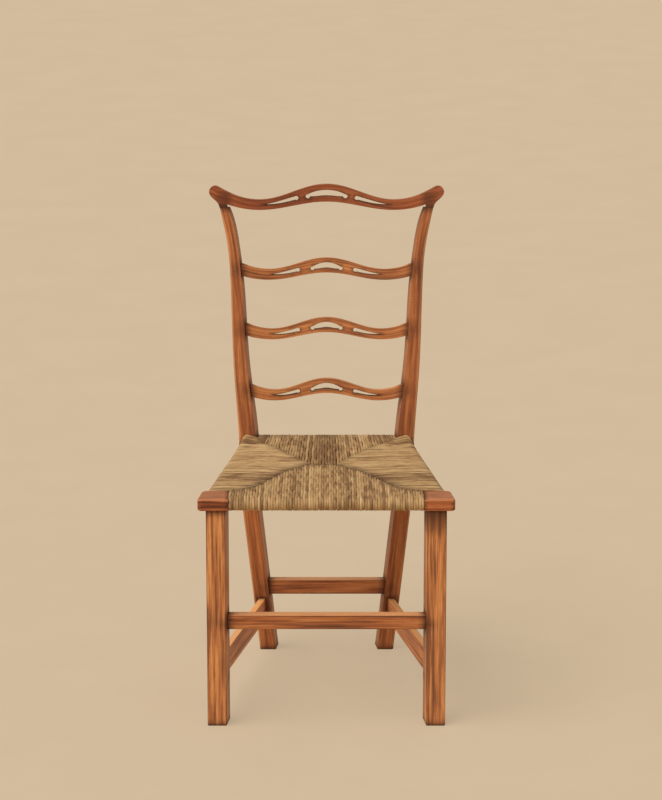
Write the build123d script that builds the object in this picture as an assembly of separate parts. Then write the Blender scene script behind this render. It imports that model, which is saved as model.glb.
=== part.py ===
from build123d import *
import os
from math import atan2, cos, degrees, pi, radians, sin, tan

# Side chair with a pierced ladder back and a rush seat, in millimetres.
# +Z is up, -Y is the front, and the origin is on the floor under the middle of the chair.

# Overall frame
seat_height = 445.0
seat_depth = 385.0
front_width = 447.0
back_rise = 460.0

# Rear posts: half widths to the outer face, and the width of the front face, from floor to top
post_out_foot = 141.5
post_out_knee = 166.5
post_out_seat = 171.5
post_out_waist = 183.4
post_out_shoulder = 191.2
post_out_neck = 199.0
post_out_collar = 211.7
post_out_top = 215.0
post_width_foot = 32.0
post_width_knee = 32.0
post_width_seat = 33.0
post_width_waist = 26.4
post_width_shoulder = 22.6
post_width_neck = 19.3
post_width_collar = 17.8
post_width_top = 15.2
post_depth_foot = 34.0
post_depth_seat = 40.0
post_depth_top = 25.0
knee_drop = 150.0
waist_share = 0.337
shoulder_share = 0.663
neck_share = 0.843
collar_drop = 14.0
foot_rake = 55.0
back_angle = 8.0
bend_above_seat = 160.0
bend_below_seat = 140.0

# Front legs and corner blocks
leg_width = 36.0
leg_depth = 40.0
foot_chamfer = 1.5
block_thickness = 21.0
block_front_overhang = 7.0
block_rear_overhang = 18.0
block_outer_overhang = 15.5
block_inner_overhang = 6.0
block_front_corner = 9.0
block_rear_corner = 11.0
block_edge = 2.5
leg_tenon_diameter = 14.0
leg_tenon_cover = 3.5

# Seat rails
rail_thickness = 14.0
rail_edge = 4.0
front_rail_depth = 38.0
front_rail_setback = -2.0
side_rail_width = 28.0
side_rail_front_outset = 3.0
side_rail_rear_inset = 4.5
rear_rail_depth = 30.0
rear_rail_setback = 5.0
rear_rail_lift = 8.0
lap_tenon_thickness = 6.0
lap_tenon_width = 22.0
lap_tenon_reach = 33.0
rail_tenon_thickness = 8.0
rail_tenon_width = 18.0
rail_tenon_length = 20.0

# Stretchers
front_stretcher_height = 27.0
front_stretcher_thickness = 23.0
front_stretcher_bottom = 188.5
front_stretcher_setback = 10.0
rear_stretcher_height = 29.0
rear_stretcher_thickness = 21.0
rear_stretcher_bottom = 121.5
rear_stretcher_setback = 6.0
side_stretcher_height = 44.0
side_stretcher_thickness = 13.0
side_stretcher_bottom = 69.0
side_stretcher_inset = 1.5
stretcher_tenon_length = 18.0
stretcher_shoulder = 4.0
side_stretcher_cheek = 2.0
stretcher_cheek = 6.0

# Slats: heights are taken in the slat's own leaning plane
slat_thickness = 11.0
slat_setback = 7.0
slat_bow = 9.0
slat_middle_height = 29.0
slat_trough_height = 21.0
slat_crown_rise = 22.0
slat_end_rise = 12.5
slat_end_height = 25.0
slat_trough_share = 0.67
slat_upper_rise = 339.5
slat_middle_rise = 224.0
slat_lower_rise = 104.5
slat_tenon_length = 15.0
slat_tenon_shoulder = 3.0
slat_tenon_cheek = 2.0

# Crest rail
crest_thickness = 20.0
crest_bow = 9.0
crest_middle_height = 34.0
crest_trough_height = 20.0
crest_crown_rise = 30.0
crest_trough_drop = 5.2
crest_trough_x = 130.0
ear_overhang = 20.0
ear_rise = 42.0
ear_radius = 11.5
ear_start_angle = 120.0
ear_tip_angle = 20.0
ear_end_angle = -25.0
neck_rise = 6.0
post_tenon_width = 9.6
post_tenon_depth = 9.0
post_tenon_height = 22.0

# Piercings of the slats and the crest, along the rail and across it; a lobe tops its slot by the lip
lobe_lip = 0.2
slat_side_slot_tip = 108.5
slat_side_slot_end = 56.0
slat_side_slot_height = 6.8
slat_side_lobe_radius = 4.1
slat_centre_slot_end = 27.5
slat_centre_slot_height = 10.8
slat_centre_slot_droop = 2.5
slat_centre_lobe_radius = 3.9
crest_side_slot_tip = 124.0
crest_side_slot_end = 59.0
crest_side_slot_height = 7.4
crest_side_lobe_radius = 4.4
crest_centre_slot_end = 36.5
crest_centre_slot_height = 11.4
crest_centre_slot_droop = 1.0
crest_centre_lobe_radius = 4.4

# Rush seat
cord_diameter = 5.0
seam_bridge = 40.0
seam_centre_depth = 240.0
rush_centre_top_drop = 1.0
rush_centre_thickness = 16.0
rush_crown = 2.5
rush_clearance = 0.3
packing_clearance = 0.6
packing_seam_gap = 4.0

# Points along each formula edge
edge_steps = 24
crown_steps = 16
slot_steps = 8

# Pegs and fits
peg_diameter = 6.0
peg_skin = 5.0
tenon_root = 5.0
joint_clearance = 0.15
peg_clearance = 0.05

# Places worked out from the sizes above
block_bottom = seat_height - block_thickness
rail_level = block_bottom + block_thickness / 2
rear_rail_level = rail_level + rear_rail_lift
crest_joint = seat_height + back_rise
far = crest_joint
lower_slope = foot_rake / (seat_height - bend_below_seat / 2)
upper_slope = tan(radians(back_angle))


def rake_at(height):
    """How far the front face of a rear post lies behind its place at the seat."""
    rise = height - seat_height
    slope, bend = (upper_slope, bend_above_seat) if rise > 0 else (lower_slope, bend_below_seat)
    distance = abs(rise)
    if distance < bend:
        return slope * distance ** 2 / (2 * bend)
    return slope * (distance - bend / 2)


def lean_at(height):
    """Angle in degrees by which the back leans at a height above the seat."""
    return degrees(atan2(upper_slope * min(1.0, (height - seat_height) / bend_above_seat), 1.0))


crest_crown_top = crest_trough_height - crest_trough_drop + crest_crown_rise
crest_top = crest_joint + crest_crown_top * cos(radians(back_angle))
crest_back = (
    rake_at(crest_joint)
    + (crest_bow + crest_thickness) * cos(radians(back_angle))
    + (crest_top - crest_joint) * upper_slope
)
overall_depth = block_front_overhang + seat_depth + max(foot_rake + post_depth_foot, crest_back)
leg_front = block_front_overhang - overall_depth / 2
leg_rear = leg_front + leg_depth
post_front = leg_front + seat_depth
leg_outer = front_width / 2
side_skew = (leg_outer - post_out_seat) / seat_depth
block_front = leg_front - block_front_overhang
block_rear = leg_rear + block_rear_overhang
block_inner = leg_outer - leg_width - block_inner_overhang

post_levels = [
    0.0,
    seat_height - knee_drop,
    seat_height,
    seat_height + waist_share * back_rise,
    seat_height + shoulder_share * back_rise,
    seat_height + neck_share * back_rise,
    crest_joint - collar_drop,
    crest_joint,
]
post_outs = [
    post_out_foot,
    post_out_knee,
    post_out_seat,
    post_out_waist,
    post_out_shoulder,
    post_out_neck,
    post_out_collar,
    post_out_top,
]
post_widths = [
    post_width_foot,
    post_width_knee,
    post_width_seat,
    post_width_waist,
    post_width_shoulder,
    post_width_neck,
    post_width_collar,
    post_width_top,
]


def between_levels(values, height):
    """Straight-line reading of a post size between its named levels."""
    for low, high, start, end in zip(post_levels, post_levels[1:], values, values[1:]):
        if height <= high:
            return start + (end - start) * (height - low) / (high - low)
    return values[-1]


def post_outer_x(height, y):
    return between_levels(post_outs, height) - side_skew * (y - post_front)


def post_inner_x(height, y):
    return post_outer_x(height, y) - between_levels(post_widths, height)


def leg_outer_x(y):
    return leg_outer - side_skew * (y - leg_front)


def box_between(low, high):
    """Box from its lowest to its highest corner."""
    size = [high_value - low_value for low_value, high_value in zip(low, high)]
    middle = [(high_value + low_value) / 2 for low_value, high_value in zip(low, high)]
    return Pos(*middle) * Box(*size)


def prism(points, low, high):
    """Upright prism on a plan outline."""
    return Pos(0, 0, low) * extrude(make_face(Polyline(*points, close=True)), high - low)


def mirrored(shape):
    return mirror(shape, about=Plane.YZ)


def one_solid(shape):
    """The single solid that a cut or a join leaves."""
    solids = shape.solids()
    return solids.sort_by(lambda solid: solid.volume)[-1]


# Rear posts
def post_blank():
    """Left post: front outline carried back along the skewed side, inside the bent side outline."""
    top_level = crest_joint + post_tenon_height
    edges = []
    for values in (post_outs, [out - width for out, width in zip(post_outs, post_widths)]):
        foot, knee, *rest = [(-x, z) for x, z in zip(values, post_levels)]
        straight = (knee[0] - foot[0], knee[1] - foot[1])
        flare = (rest[-1][0] - rest[-2][0], rest[-1][1] - rest[-2][1])
        tip = (rest[-1][0] + flare[0] * post_tenon_height / flare[1], top_level)
        edges.append([
            Line(foot, knee),
            Spline(knee, *rest, tangents=[straight, flare]),
            Line(rest[-1], tip),
        ])
    outer, inner = edges
    ends = [Line(outer[0] @ 0, inner[0] @ 0), Line(outer[2] @ 1, inner[2] @ 1)]
    front_face = Rot(90, 0, 0) * make_face(Curve() + outer + inner + ends)
    front_face = Pos(-side_skew * far, post_front - far, 0) * front_face
    upright = extrude(front_face, 2 * far, dir=(side_skew, 1.0, 0.0))
    return one_solid(upright & post_side_slab(top_level))


def post_side_slab(top_level):
    """Bent side outline of a post, carried right across the chair."""
    outlines = []
    for depth_foot, depth_seat, depth_top in (
        (0.0, 0.0, 0.0),
        (post_depth_foot, post_depth_seat, post_depth_top),
    ):
        foot_y = foot_rake + depth_foot
        foot_slope = (foot_y - depth_seat) / (seat_height - bend_below_seat / 2)
        top_y = rake_at(crest_joint) + depth_top
        top_slope = (top_y - depth_seat) / (back_rise - bend_above_seat / 2)
        low_bend = (depth_seat + foot_slope * bend_below_seat / 2, seat_height - bend_below_seat)
        high_bend = (depth_seat + top_slope * bend_above_seat / 2, seat_height + bend_above_seat)
        outlines.append([
            Line((foot_y, 0), low_bend),
            Bezier(low_bend, (depth_seat, seat_height - bend_below_seat / 2), (depth_seat, seat_height)),
            Bezier((depth_seat, seat_height), (depth_seat, seat_height + bend_above_seat / 2), high_bend),
            Line(high_bend, (top_y + top_slope * (top_level - crest_joint), top_level)),
        ])
    front, back = outlines
    ends = [Line(front[0] @ 0, back[0] @ 0), Line(front[-1] @ 1, back[-1] @ 1)]
    face = make_face(Curve() + front + back + ends)
    return Pos(0, post_front, 0) * extrude(Plane.YZ * face, far, both=True)


crest_frame = Pos(0, post_front + rake_at(crest_joint), crest_joint) * Rot(-back_angle, 0, 0)
above_joint = crest_frame * box_between((-far, -far, 0), (far, far, far))
post_top_middle = post_out_top - post_width_top / 2 - side_skew * rake_at(crest_joint)
post_tenon_inset = (crest_thickness - post_tenon_depth) / 2


def post_tenon(clearance):
    """Tenon on top of the left post, grown by a clearance where it is used as a mortise."""
    half = post_tenon_width / 2 + clearance
    return crest_frame * box_between(
        (-post_top_middle - half, post_tenon_inset - clearance, -tenon_root),
        (
            -post_top_middle + half,
            post_tenon_inset + post_tenon_depth + clearance,
            post_tenon_height + clearance,
        ),
    )


left_post_plain = one_solid(post_blank() - above_joint)
right_post_plain = mirrored(left_post_plain)
posts_plain = [left_post_plain, right_post_plain]


# Front legs and corner blocks
leg_plan = [
    (-leg_outer_x(leg_front), leg_front),
    (-leg_outer_x(leg_front) + leg_width, leg_front),
    (-leg_outer_x(leg_rear) + leg_width, leg_rear),
    (-leg_outer_x(leg_rear), leg_rear),
]
leg_middle = (-leg_outer_x(leg_front + leg_depth / 2) + leg_width / 2, leg_front + leg_depth / 2)
left_leg_plain = prism(leg_plan, 0, block_bottom)
left_leg_plain = one_solid(chamfer(left_leg_plain.faces().sort_by(Axis.Z)[0].edges(), foot_chamfer))
right_leg_plain = mirrored(left_leg_plain)
leg_tenon_height = block_thickness - leg_tenon_cover


def leg_tenon(clearance):
    radius = leg_tenon_diameter / 2 + clearance
    height = leg_tenon_height + clearance
    return Pos(*leg_middle, block_bottom + height / 2) * Cylinder(radius, height)


def block_blank():
    """Left corner block, square on its inner side, with rounded outer corners and a rounded nosing."""
    plan = [
        (-leg_outer_x(block_front) - block_outer_overhang, block_front),
        (-block_inner, block_front),
        (-block_inner, block_rear),
        (-leg_outer_x(block_rear) - block_outer_overhang, block_rear),
    ]
    block = prism(plan, block_bottom, seat_height)
    uprights = block.edges().filter_by(Axis.Z)
    block = fillet(uprights.sort_by(Axis.Y)[:2].sort_by(Axis.X)[0], block_front_corner)
    uprights = block.edges().filter_by(Axis.Z)
    block = fillet(uprights.sort_by(Axis.Y)[-2:].sort_by(Axis.X)[0], block_rear_corner)
    rims = block.edges().filter_by(Axis.Z, reverse=True)
    inner_face = block.faces().sort_by(Axis.X)[-1]
    rear_face = block.faces().sort_by(Axis.Y)[-1]
    nosing = rims - inner_face.edges() - rear_face.edges()
    return one_solid(fillet(nosing, block_edge))


left_block_plain = block_blank()
right_block_plain = mirrored(left_block_plain)


# Seat rails: the front and side rails lap inside each block, and the leg's round tenon locks them
def rounded_bar(low, high, axis):
    bar = box_between(low, high)
    return fillet(bar.edges().filter_by(axis), rail_edge)


def front_lap(clearance):
    """Lower lap tenon of the front rail, on the left."""
    half = lap_tenon_width / 2 + clearance
    tip = -block_inner - lap_tenon_reach - clearance
    return box_between(
        (tip, leg_middle[1] - half, rail_level - lap_tenon_thickness - clearance),
        (-block_inner + tenon_root, leg_middle[1] + half, rail_level),
    )


def side_lap(clearance):
    """Upper lap tenon of the left side rail."""
    half = lap_tenon_width / 2 + clearance
    return box_between(
        (leg_middle[0] - half, block_rear - lap_tenon_reach - block_rear_overhang - clearance, rail_level),
        (leg_middle[0] + half, block_rear + tenon_root, rail_level + lap_tenon_thickness + clearance),
    )


front_rail_low = leg_front + front_rail_setback
front_rail_blank = rounded_bar(
    (-leg_outer, front_rail_low, rail_level - rail_thickness / 2),
    (leg_outer, front_rail_low + front_rail_depth, rail_level + rail_thickness / 2),
    Axis.X,
)
seat_rail_front = one_solid(front_rail_blank - left_block_plain - right_block_plain)
seat_rail_front = seat_rail_front + front_lap(0) + mirrored(front_lap(0))
leg_tenon_hole = leg_tenon(joint_clearance)
seat_rail_front = one_solid(seat_rail_front - leg_tenon_hole - mirrored(leg_tenon_hole))

side_rail_start = (-leg_outer_x(block_rear) - side_rail_front_outset, block_rear)
side_rail_end = (-post_out_seat + side_rail_rear_inset, post_front)
side_rail_turn = degrees(atan2(side_rail_end[0] - side_rail_start[0], side_rail_end[1] - side_rail_start[1]))
side_rail_frame = Pos(*side_rail_start, rail_level) * Rot(0, 0, -side_rail_turn)
side_rail_length = (side_rail_end[1] - side_rail_start[1]) / cos(radians(side_rail_turn))
side_rail_blank = side_rail_frame * rounded_bar(
    (0, -rail_tenon_length, -rail_thickness / 2),
    (side_rail_width, side_rail_length + rail_tenon_length, rail_thickness / 2),
    Axis.Y,
)


def side_rail_tenon(clearance):
    """Tenon of the left side rail in the rear post."""
    half = rail_tenon_thickness / 2 + clearance
    middle = -post_out_seat + post_width_seat / 2
    spread = rail_tenon_width / 2 + clearance
    return box_between(
        (middle - spread, post_front - tenon_root, rail_level - half),
        (middle + spread, post_front + rail_tenon_length + clearance, rail_level + half),
    )


behind_block = box_between((-far, block_rear, 0), (0, post_front, far))
seat_rail_left = one_solid(side_rail_blank & behind_block)
seat_rail_left = seat_rail_left + side_lap(0) + side_rail_tenon(0)
seat_rail_left = one_solid(seat_rail_left - leg_tenon_hole)

rear_rail_low = post_front + rear_rail_setback
rear_rail_high = rear_rail_low + rear_rail_depth
rear_rail_blank = rounded_bar(
    (-post_out_seat, rear_rail_low, rear_rail_level - rail_thickness / 2),
    (post_out_seat, rear_rail_high, rear_rail_level + rail_thickness / 2),
    Axis.X,
)


def rear_rail_tenon(clearance):
    """Tenon of the rear rail in the left post."""
    half = rail_tenon_thickness / 2 + clearance
    middle = (rear_rail_low + rear_rail_high) / 2
    spread = rail_tenon_width / 2 + clearance
    inner = -post_inner_x(rear_rail_level, middle)
    return box_between(
        (inner - rail_tenon_length - clearance, middle - spread, rear_rail_level - half),
        (inner + tenon_root, middle + spread, rear_rail_level + half),
    )


seat_rail_rear = one_solid(rear_rail_blank - left_post_plain - right_post_plain)
seat_rail_rear = one_solid(seat_rail_rear + rear_rail_tenon(0) + mirrored(rear_rail_tenon(0)))

# Stretchers
front_stretcher_low = leg_front + front_stretcher_setback
front_stretcher_high = front_stretcher_low + front_stretcher_thickness
front_stretcher_top = front_stretcher_bottom + front_stretcher_height
leg_inner_at_stretcher = leg_outer_x((front_stretcher_low + front_stretcher_high) / 2) - leg_width


def cross_tenon(inner, low, high, bottom, top, clearance):
    """Tenon at the left end of a stretcher that runs across the chair, from the leg's inner face."""
    return box_between(
        (-inner - stretcher_tenon_length - clearance, low + stretcher_cheek - clearance, bottom - clearance),
        (-inner + tenon_root, high - stretcher_cheek + clearance, top + clearance),
    )


def front_stretcher_tenon(clearance):
    return cross_tenon(
        leg_inner_at_stretcher,
        front_stretcher_low,
        front_stretcher_high,
        front_stretcher_bottom + stretcher_shoulder,
        front_stretcher_top - stretcher_shoulder,
        clearance,
    )


stretcher_front = box_between(
    (-leg_inner_at_stretcher - tenon_root, front_stretcher_low, front_stretcher_bottom),
    (leg_inner_at_stretcher + tenon_root, front_stretcher_high, front_stretcher_top),
)
stretcher_front = one_solid(stretcher_front - left_leg_plain - right_leg_plain)
stretcher_front = one_solid(stretcher_front + front_stretcher_tenon(0) + mirrored(front_stretcher_tenon(0)))

rear_stretcher_top = rear_stretcher_bottom + rear_stretcher_height
rear_stretcher_middle = rear_stretcher_bottom + rear_stretcher_height / 2
rear_stretcher_low = post_front + rake_at(rear_stretcher_middle) + rear_stretcher_setback
rear_stretcher_high = rear_stretcher_low + rear_stretcher_thickness
post_inner_at_stretcher = post_inner_x(rear_stretcher_middle, (rear_stretcher_low + rear_stretcher_high) / 2)


def rear_stretcher_tenon(clearance):
    return cross_tenon(
        post_inner_at_stretcher,
        rear_stretcher_low,
        rear_stretcher_high,
        rear_stretcher_bottom + stretcher_shoulder,
        rear_stretcher_top - stretcher_shoulder,
        clearance,
    )


stretcher_rear = box_between(
    (-post_inner_at_stretcher - tenon_root, rear_stretcher_low, rear_stretcher_bottom),
    (post_inner_at_stretcher + tenon_root, rear_stretcher_high, rear_stretcher_top),
)
stretcher_rear = one_solid(stretcher_rear - left_post_plain - right_post_plain)
stretcher_rear = one_solid(stretcher_rear + rear_stretcher_tenon(0) + mirrored(rear_stretcher_tenon(0)))

side_stretcher_middle = side_stretcher_bottom + side_stretcher_height / 2
side_stretcher_rear_y = post_front + rake_at(side_stretcher_middle)
side_stretcher_start = (
    -leg_outer_x(leg_rear) + side_stretcher_inset + side_stretcher_thickness / 2,
    leg_rear,
)
side_stretcher_end = (
    -post_outer_x(side_stretcher_middle, side_stretcher_rear_y)
    + between_levels(post_widths, side_stretcher_middle) / 2,
    side_stretcher_rear_y,
)
side_stretcher_turn = degrees(
    atan2(side_stretcher_end[0] - side_stretcher_start[0], side_stretcher_end[1] - side_stretcher_start[1])
)
side_stretcher_length = (side_stretcher_end[1] - side_stretcher_start[1]) / cos(radians(side_stretcher_turn))
side_stretcher_frame = Pos(*side_stretcher_start, side_stretcher_middle) * Rot(0, 0, -side_stretcher_turn)


def side_stretcher_tenons(clearance):
    """Tenons at both ends of the left stretcher, in line with it."""
    half_thickness = side_stretcher_thickness / 2 - side_stretcher_cheek + clearance
    half_height = side_stretcher_height / 2 - stretcher_shoulder + clearance
    reach = stretcher_tenon_length + clearance
    return side_stretcher_frame * box_between(
        (-half_thickness, -reach, -half_height),
        (half_thickness, side_stretcher_length + reach, half_height),
    )


stretcher_left = side_stretcher_frame * box_between(
    (-side_stretcher_thickness / 2, -stretcher_tenon_length, -side_stretcher_height / 2),
    (side_stretcher_thickness / 2, side_stretcher_length + stretcher_tenon_length, side_stretcher_height / 2),
)
stretcher_left = one_solid(stretcher_left - left_leg_plain - left_post_plain)
stretcher_left = one_solid(stretcher_left + side_stretcher_tenons(0))


# Pegs: each starts under the skin of its host and runs out to the host's far face
towards_back = Rot(-90, 0, 0)
towards_left = Rot(0, -90, 0)


def peg_bar(start, clearance):
    radius = peg_diameter / 2 + clearance
    bar = Cylinder(radius, far, align=(Align.CENTER, Align.CENTER, Align.MIN))
    return start * Pos(0, 0, -clearance) * bar


def peg_in(start, host):
    return one_solid(peg_bar(start, 0) & host)


# Pierced back rails
def wave(x, trough_x, end_x, trough, crown_rise, end_rise):
    """Serpentine edge: a cosine crown in the middle and a rising sweep towards each end."""
    x = abs(x)
    if x <= trough_x:
        return trough + crown_rise * (1 + cos(pi * x / trough_x)) / 2
    share = min(1.0, (x - trough_x) / (end_x - trough_x))
    return trough + end_rise * share ** 2


def stations(start, end, count):
    return [start + (end - start) * step / count for step in range(count + 1)]


def band_face(start, end, count, lower, upper):
    """Face between two edges given as formulas of x, which may meet in a point at the start."""
    low = [(x, lower(x)) for x in stations(start, end, count)]
    high = [(x, upper(x)) for x in stations(start, end, count)]
    closing = [Line(low[-1], high[-1])]
    if high[0] != low[0]:
        closing.append(Line(low[0], high[0]))
    return make_face(Curve() + [Spline(*low), Spline(*high)] + closing)


def side_piercing(middle, tip, end, height, lobe):
    """Pointed slot on the left, with a lobe that hangs a little below its wide end."""
    def taper(x):
        return height / 2 * sin(pi / 2 * (tip + x) / (tip - end))

    slot = band_face(-tip, -end, slot_steps, lambda x: middle(x) - taper(x), lambda x: middle(x) + taper(x))
    lobe_level = middle(end) + height / 2 + lobe_lip - lobe
    return slot + Pos(-end, lobe_level) * Circle(lobe)


def centre_piercing(middle, end, height, droop, lobe):
    """Arched slot in the middle, narrow at its ends, with a lobe hanging from each."""
    def arch(x):
        return lobe / 2 + (height - lobe) / 2 * cos(pi / 2 * (x / end) ** 2)

    def line(x):
        return middle(x) - droop * (1 - cos(pi * x / end)) / 2

    slot = band_face(-end, end, edge_steps, lambda x: line(x) - arch(x), lambda x: line(x) + arch(x))
    lobe_level = line(end) + arch(end) + lobe_lip - lobe
    for place in (-end, end):
        slot = slot + Pos(place, lobe_level) * Circle(lobe)
    return slot


def bowed_slab(thickness, bow, half_span):
    """Slab whose front face passes through y = 0 at the half span and lies back by the bow in the middle."""
    radius = (half_span ** 2 + bow ** 2) / (2 * bow)
    ring = Circle(radius + thickness) - Circle(radius)
    near = Pos(0, radius) * Rectangle(2 * half_span + far, 2 * half_span)
    slab = extrude(ring & near, far, both=True)
    return Pos(0, bow - radius, 0) * slab


def upright_plate(face):
    """Face drawn in x and height, stood up and carried far both ways."""
    return Rot(90, 0, 0) * extrude(face, far, both=True)


def make_slat(rise):
    """Pierced slat with its tenons, and the mortise that takes the left one."""
    level = seat_height + rise
    frame = Pos(0, post_front + rake_at(level) + slat_setback, level) * Rot(-lean_at(level), 0, 0)
    half_span = post_inner_x(level, post_front + rake_at(level) + slat_setback + slat_thickness / 2)
    trough_x = slat_trough_share * half_span
    bottom_crown = slat_crown_rise - (slat_middle_height - slat_trough_height)
    bottom_end = slat_end_rise - (slat_end_height - slat_trough_height)
    base = -slat_end_height / 2 - bottom_end

    def lower(x):
        return wave(x, trough_x, half_span, base, bottom_crown, bottom_end)

    def upper(x):
        return wave(x, trough_x, half_span, base + slat_trough_height, slat_crown_rise, slat_end_rise)

    def middle(x):
        return (lower(x) + upper(x)) / 2

    end = half_span + slat_tenon_length
    face = band_face(-end, end, edge_steps, lower, upper)
    side_slot = side_piercing(
        middle,
        slat_side_slot_tip,
        slat_side_slot_end,
        slat_side_slot_height,
        slat_side_lobe_radius,
    )
    centre_slot = centre_piercing(
        middle,
        slat_centre_slot_end,
        slat_centre_slot_height,
        slat_centre_slot_droop,
        slat_centre_lobe_radius,
    )
    face = face - side_slot - mirrored(side_slot) - centre_slot
    plate = frame * (upright_plate(face) & bowed_slab(slat_thickness, slat_bow, half_span))

    def tenon(clearance):
        half_height = slat_end_height / 2 - slat_tenon_shoulder + clearance
        return frame * box_between(
            (-end - clearance, slat_tenon_cheek - clearance, -half_height),
            (-half_span + tenon_root, slat_thickness - slat_tenon_cheek + clearance, half_height),
        )

    slat = one_solid(plate - left_post_plain - right_post_plain)
    slat = one_solid(slat + tenon(0) + mirrored(tenon(0)))
    peg_start = frame * Pos(-half_span - slat_tenon_length / 2, peg_skin - slat_setback, 0) * towards_back
    return slat, tenon(joint_clearance), peg_start


slat_rises = [slat_upper_rise, slat_middle_rise, slat_lower_rise]
slats = [make_slat(rise) for rise in slat_rises]


def crest_outline():
    """Serpentine top rail with upturned ears and a short neck over each post."""
    neck_outer = post_top_middle + post_width_top / 2
    neck_inner = post_top_middle - post_width_top / 2
    trough = crest_trough_height - crest_trough_drop
    bottom_crown = crest_crown_rise - (crest_middle_height - crest_trough_height)
    bottom_end = neck_rise + crest_trough_drop

    def lower(x):
        return wave(x, crest_trough_x, neck_inner, -crest_trough_drop, bottom_crown, bottom_end)

    def upper(x):
        return wave(x, crest_trough_x, far, trough, crest_crown_rise, 0)

    def middle(x):
        return (lower(x) + upper(x)) / 2

    ear = Vector(neck_outer + ear_overhang - ear_radius, ear_rise - ear_radius)
    joins, tangents = [], []
    for angle in (ear_start_angle, ear_tip_angle, ear_end_angle):
        joins.append((ear.X + ear_radius * cos(radians(angle)), ear.Y + ear_radius * sin(radians(angle))))
        tangents.append((sin(radians(angle)), -cos(radians(angle))))
    right_end = [
        Spline((crest_trough_x, trough), joins[0], tangents=[(1, 0), tangents[0]]),
        ThreePointArc(*joins),
        Spline(joins[2], (neck_outer, 0), tangents=[tangents[2], (-upper_slope, -1)]),
        Line((neck_outer, 0), (neck_inner, 0)),
        Line((neck_inner, 0), (neck_inner, neck_rise)),
    ]
    left_end = [mirrored(edge) for edge in right_end]
    top = Spline(*[(x, upper(x)) for x in stations(-crest_trough_x, crest_trough_x, crown_steps)])
    bottom = Spline(*[(x, lower(x)) for x in stations(-neck_inner, neck_inner, edge_steps)])
    face = make_face(Curve() + right_end + left_end + [top, bottom])
    side_slot = side_piercing(
        middle,
        crest_side_slot_tip,
        crest_side_slot_end,
        crest_side_slot_height,
        crest_side_lobe_radius,
    )
    centre_slot = centre_piercing(
        middle,
        crest_centre_slot_end,
        crest_centre_slot_height,
        crest_centre_slot_droop,
        crest_centre_lobe_radius,
    )
    return face - side_slot - mirrored(side_slot) - centre_slot


crest_slab = bowed_slab(crest_thickness, crest_bow, post_top_middle)
crest_plain = one_solid(crest_frame * (upright_plate(crest_outline()) & crest_slab))
crest_peg_start = crest_frame * Pos(-post_top_middle, peg_skin, post_tenon_height / 2) * towards_back
crest_rail = crest_plain
for mortise in (post_tenon(joint_clearance), peg_bar(crest_peg_start, peg_clearance)):
    crest_rail = crest_rail - mortise - mirrored(mortise)
crest_rail = one_solid(crest_rail)

# Places of the stretcher pegs on the left, each with the piece that it runs out of
leg_inner_at_tenon = leg_outer_x(leg_rear - stretcher_tenon_length / 2) - leg_width
side_stretcher_peg_y = side_stretcher_rear_y + stretcher_tenon_length / 2
post_inner_at_tenon = post_inner_x(side_stretcher_middle, side_stretcher_peg_y)
front_stretcher_peg = Pos(
    -leg_inner_at_stretcher - stretcher_tenon_length / 2,
    leg_front + peg_skin,
    front_stretcher_bottom + front_stretcher_height / 2,
) * towards_back
rear_stretcher_peg = Pos(
    -post_inner_at_stretcher - stretcher_tenon_length / 2,
    post_front + rake_at(rear_stretcher_middle) + peg_skin,
    rear_stretcher_middle,
) * towards_back
side_front_peg = Pos(
    -leg_inner_at_tenon - peg_skin,
    leg_rear - stretcher_tenon_length / 2,
    side_stretcher_middle,
) * towards_left
side_rear_peg = Pos(
    -post_inner_at_tenon - peg_skin,
    side_stretcher_peg_y,
    side_stretcher_middle,
) * towards_left

front_peg_hole = peg_bar(front_stretcher_peg, peg_clearance)
stretcher_front = one_solid(stretcher_front - front_peg_hole - mirrored(front_peg_hole))
rear_peg_hole = peg_bar(rear_stretcher_peg, peg_clearance)
stretcher_rear = one_solid(stretcher_rear - rear_peg_hole - mirrored(rear_peg_hole))
for start in (side_front_peg, side_rear_peg):
    stretcher_left = stretcher_left - peg_bar(start, peg_clearance)
stretcher_left = one_solid(stretcher_left)

# Finished posts, legs and blocks, with their mortises and peg holes
rear_post_left = left_post_plain
for slat, mortise, start in slats:
    rear_post_left = rear_post_left - mortise - peg_bar(start, peg_clearance)
for mortise in (side_rail_tenon, rear_rail_tenon, side_stretcher_tenons, rear_stretcher_tenon):
    rear_post_left = rear_post_left - mortise(joint_clearance)
for start in (rear_stretcher_peg, side_rear_peg):
    rear_post_left = rear_post_left - peg_bar(start, peg_clearance)
rear_post_left = rear_post_left + post_tenon(0) - peg_bar(crest_peg_start, peg_clearance)
rear_post_left = one_solid(rear_post_left)

front_leg_left = left_leg_plain + leg_tenon(0)
for mortise in (front_stretcher_tenon, side_stretcher_tenons):
    front_leg_left = front_leg_left - mortise(joint_clearance)
for start in (front_stretcher_peg, side_front_peg):
    front_leg_left = front_leg_left - peg_bar(start, peg_clearance)
front_leg_left = one_solid(front_leg_left)

corner_block_left = left_block_plain
for mortise in (leg_tenon, front_lap, side_lap):
    corner_block_left = corner_block_left - mortise(joint_clearance)
corner_block_left = one_solid(corner_block_left)

pierced_slats = []
for slat, mortise, start in slats:
    hole = peg_bar(start, peg_clearance)
    pierced_slats.append(one_solid(slat - hole - mirrored(hole)))


def both_sides(pegs):
    return Compound(pegs + [mirrored(peg) for peg in pegs])


crest_pegs = both_sides([peg_in(crest_peg_start, crest_plain)])
slat_pegs = both_sides([peg_in(start, left_post_plain) for slat, mortise, start in slats])
stretcher_pegs = both_sides([
    peg_in(front_stretcher_peg, left_leg_plain),
    peg_in(side_front_peg, left_leg_plain),
    peg_in(rear_stretcher_peg, left_post_plain),
    peg_in(side_rear_peg, left_post_plain),
])

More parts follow.
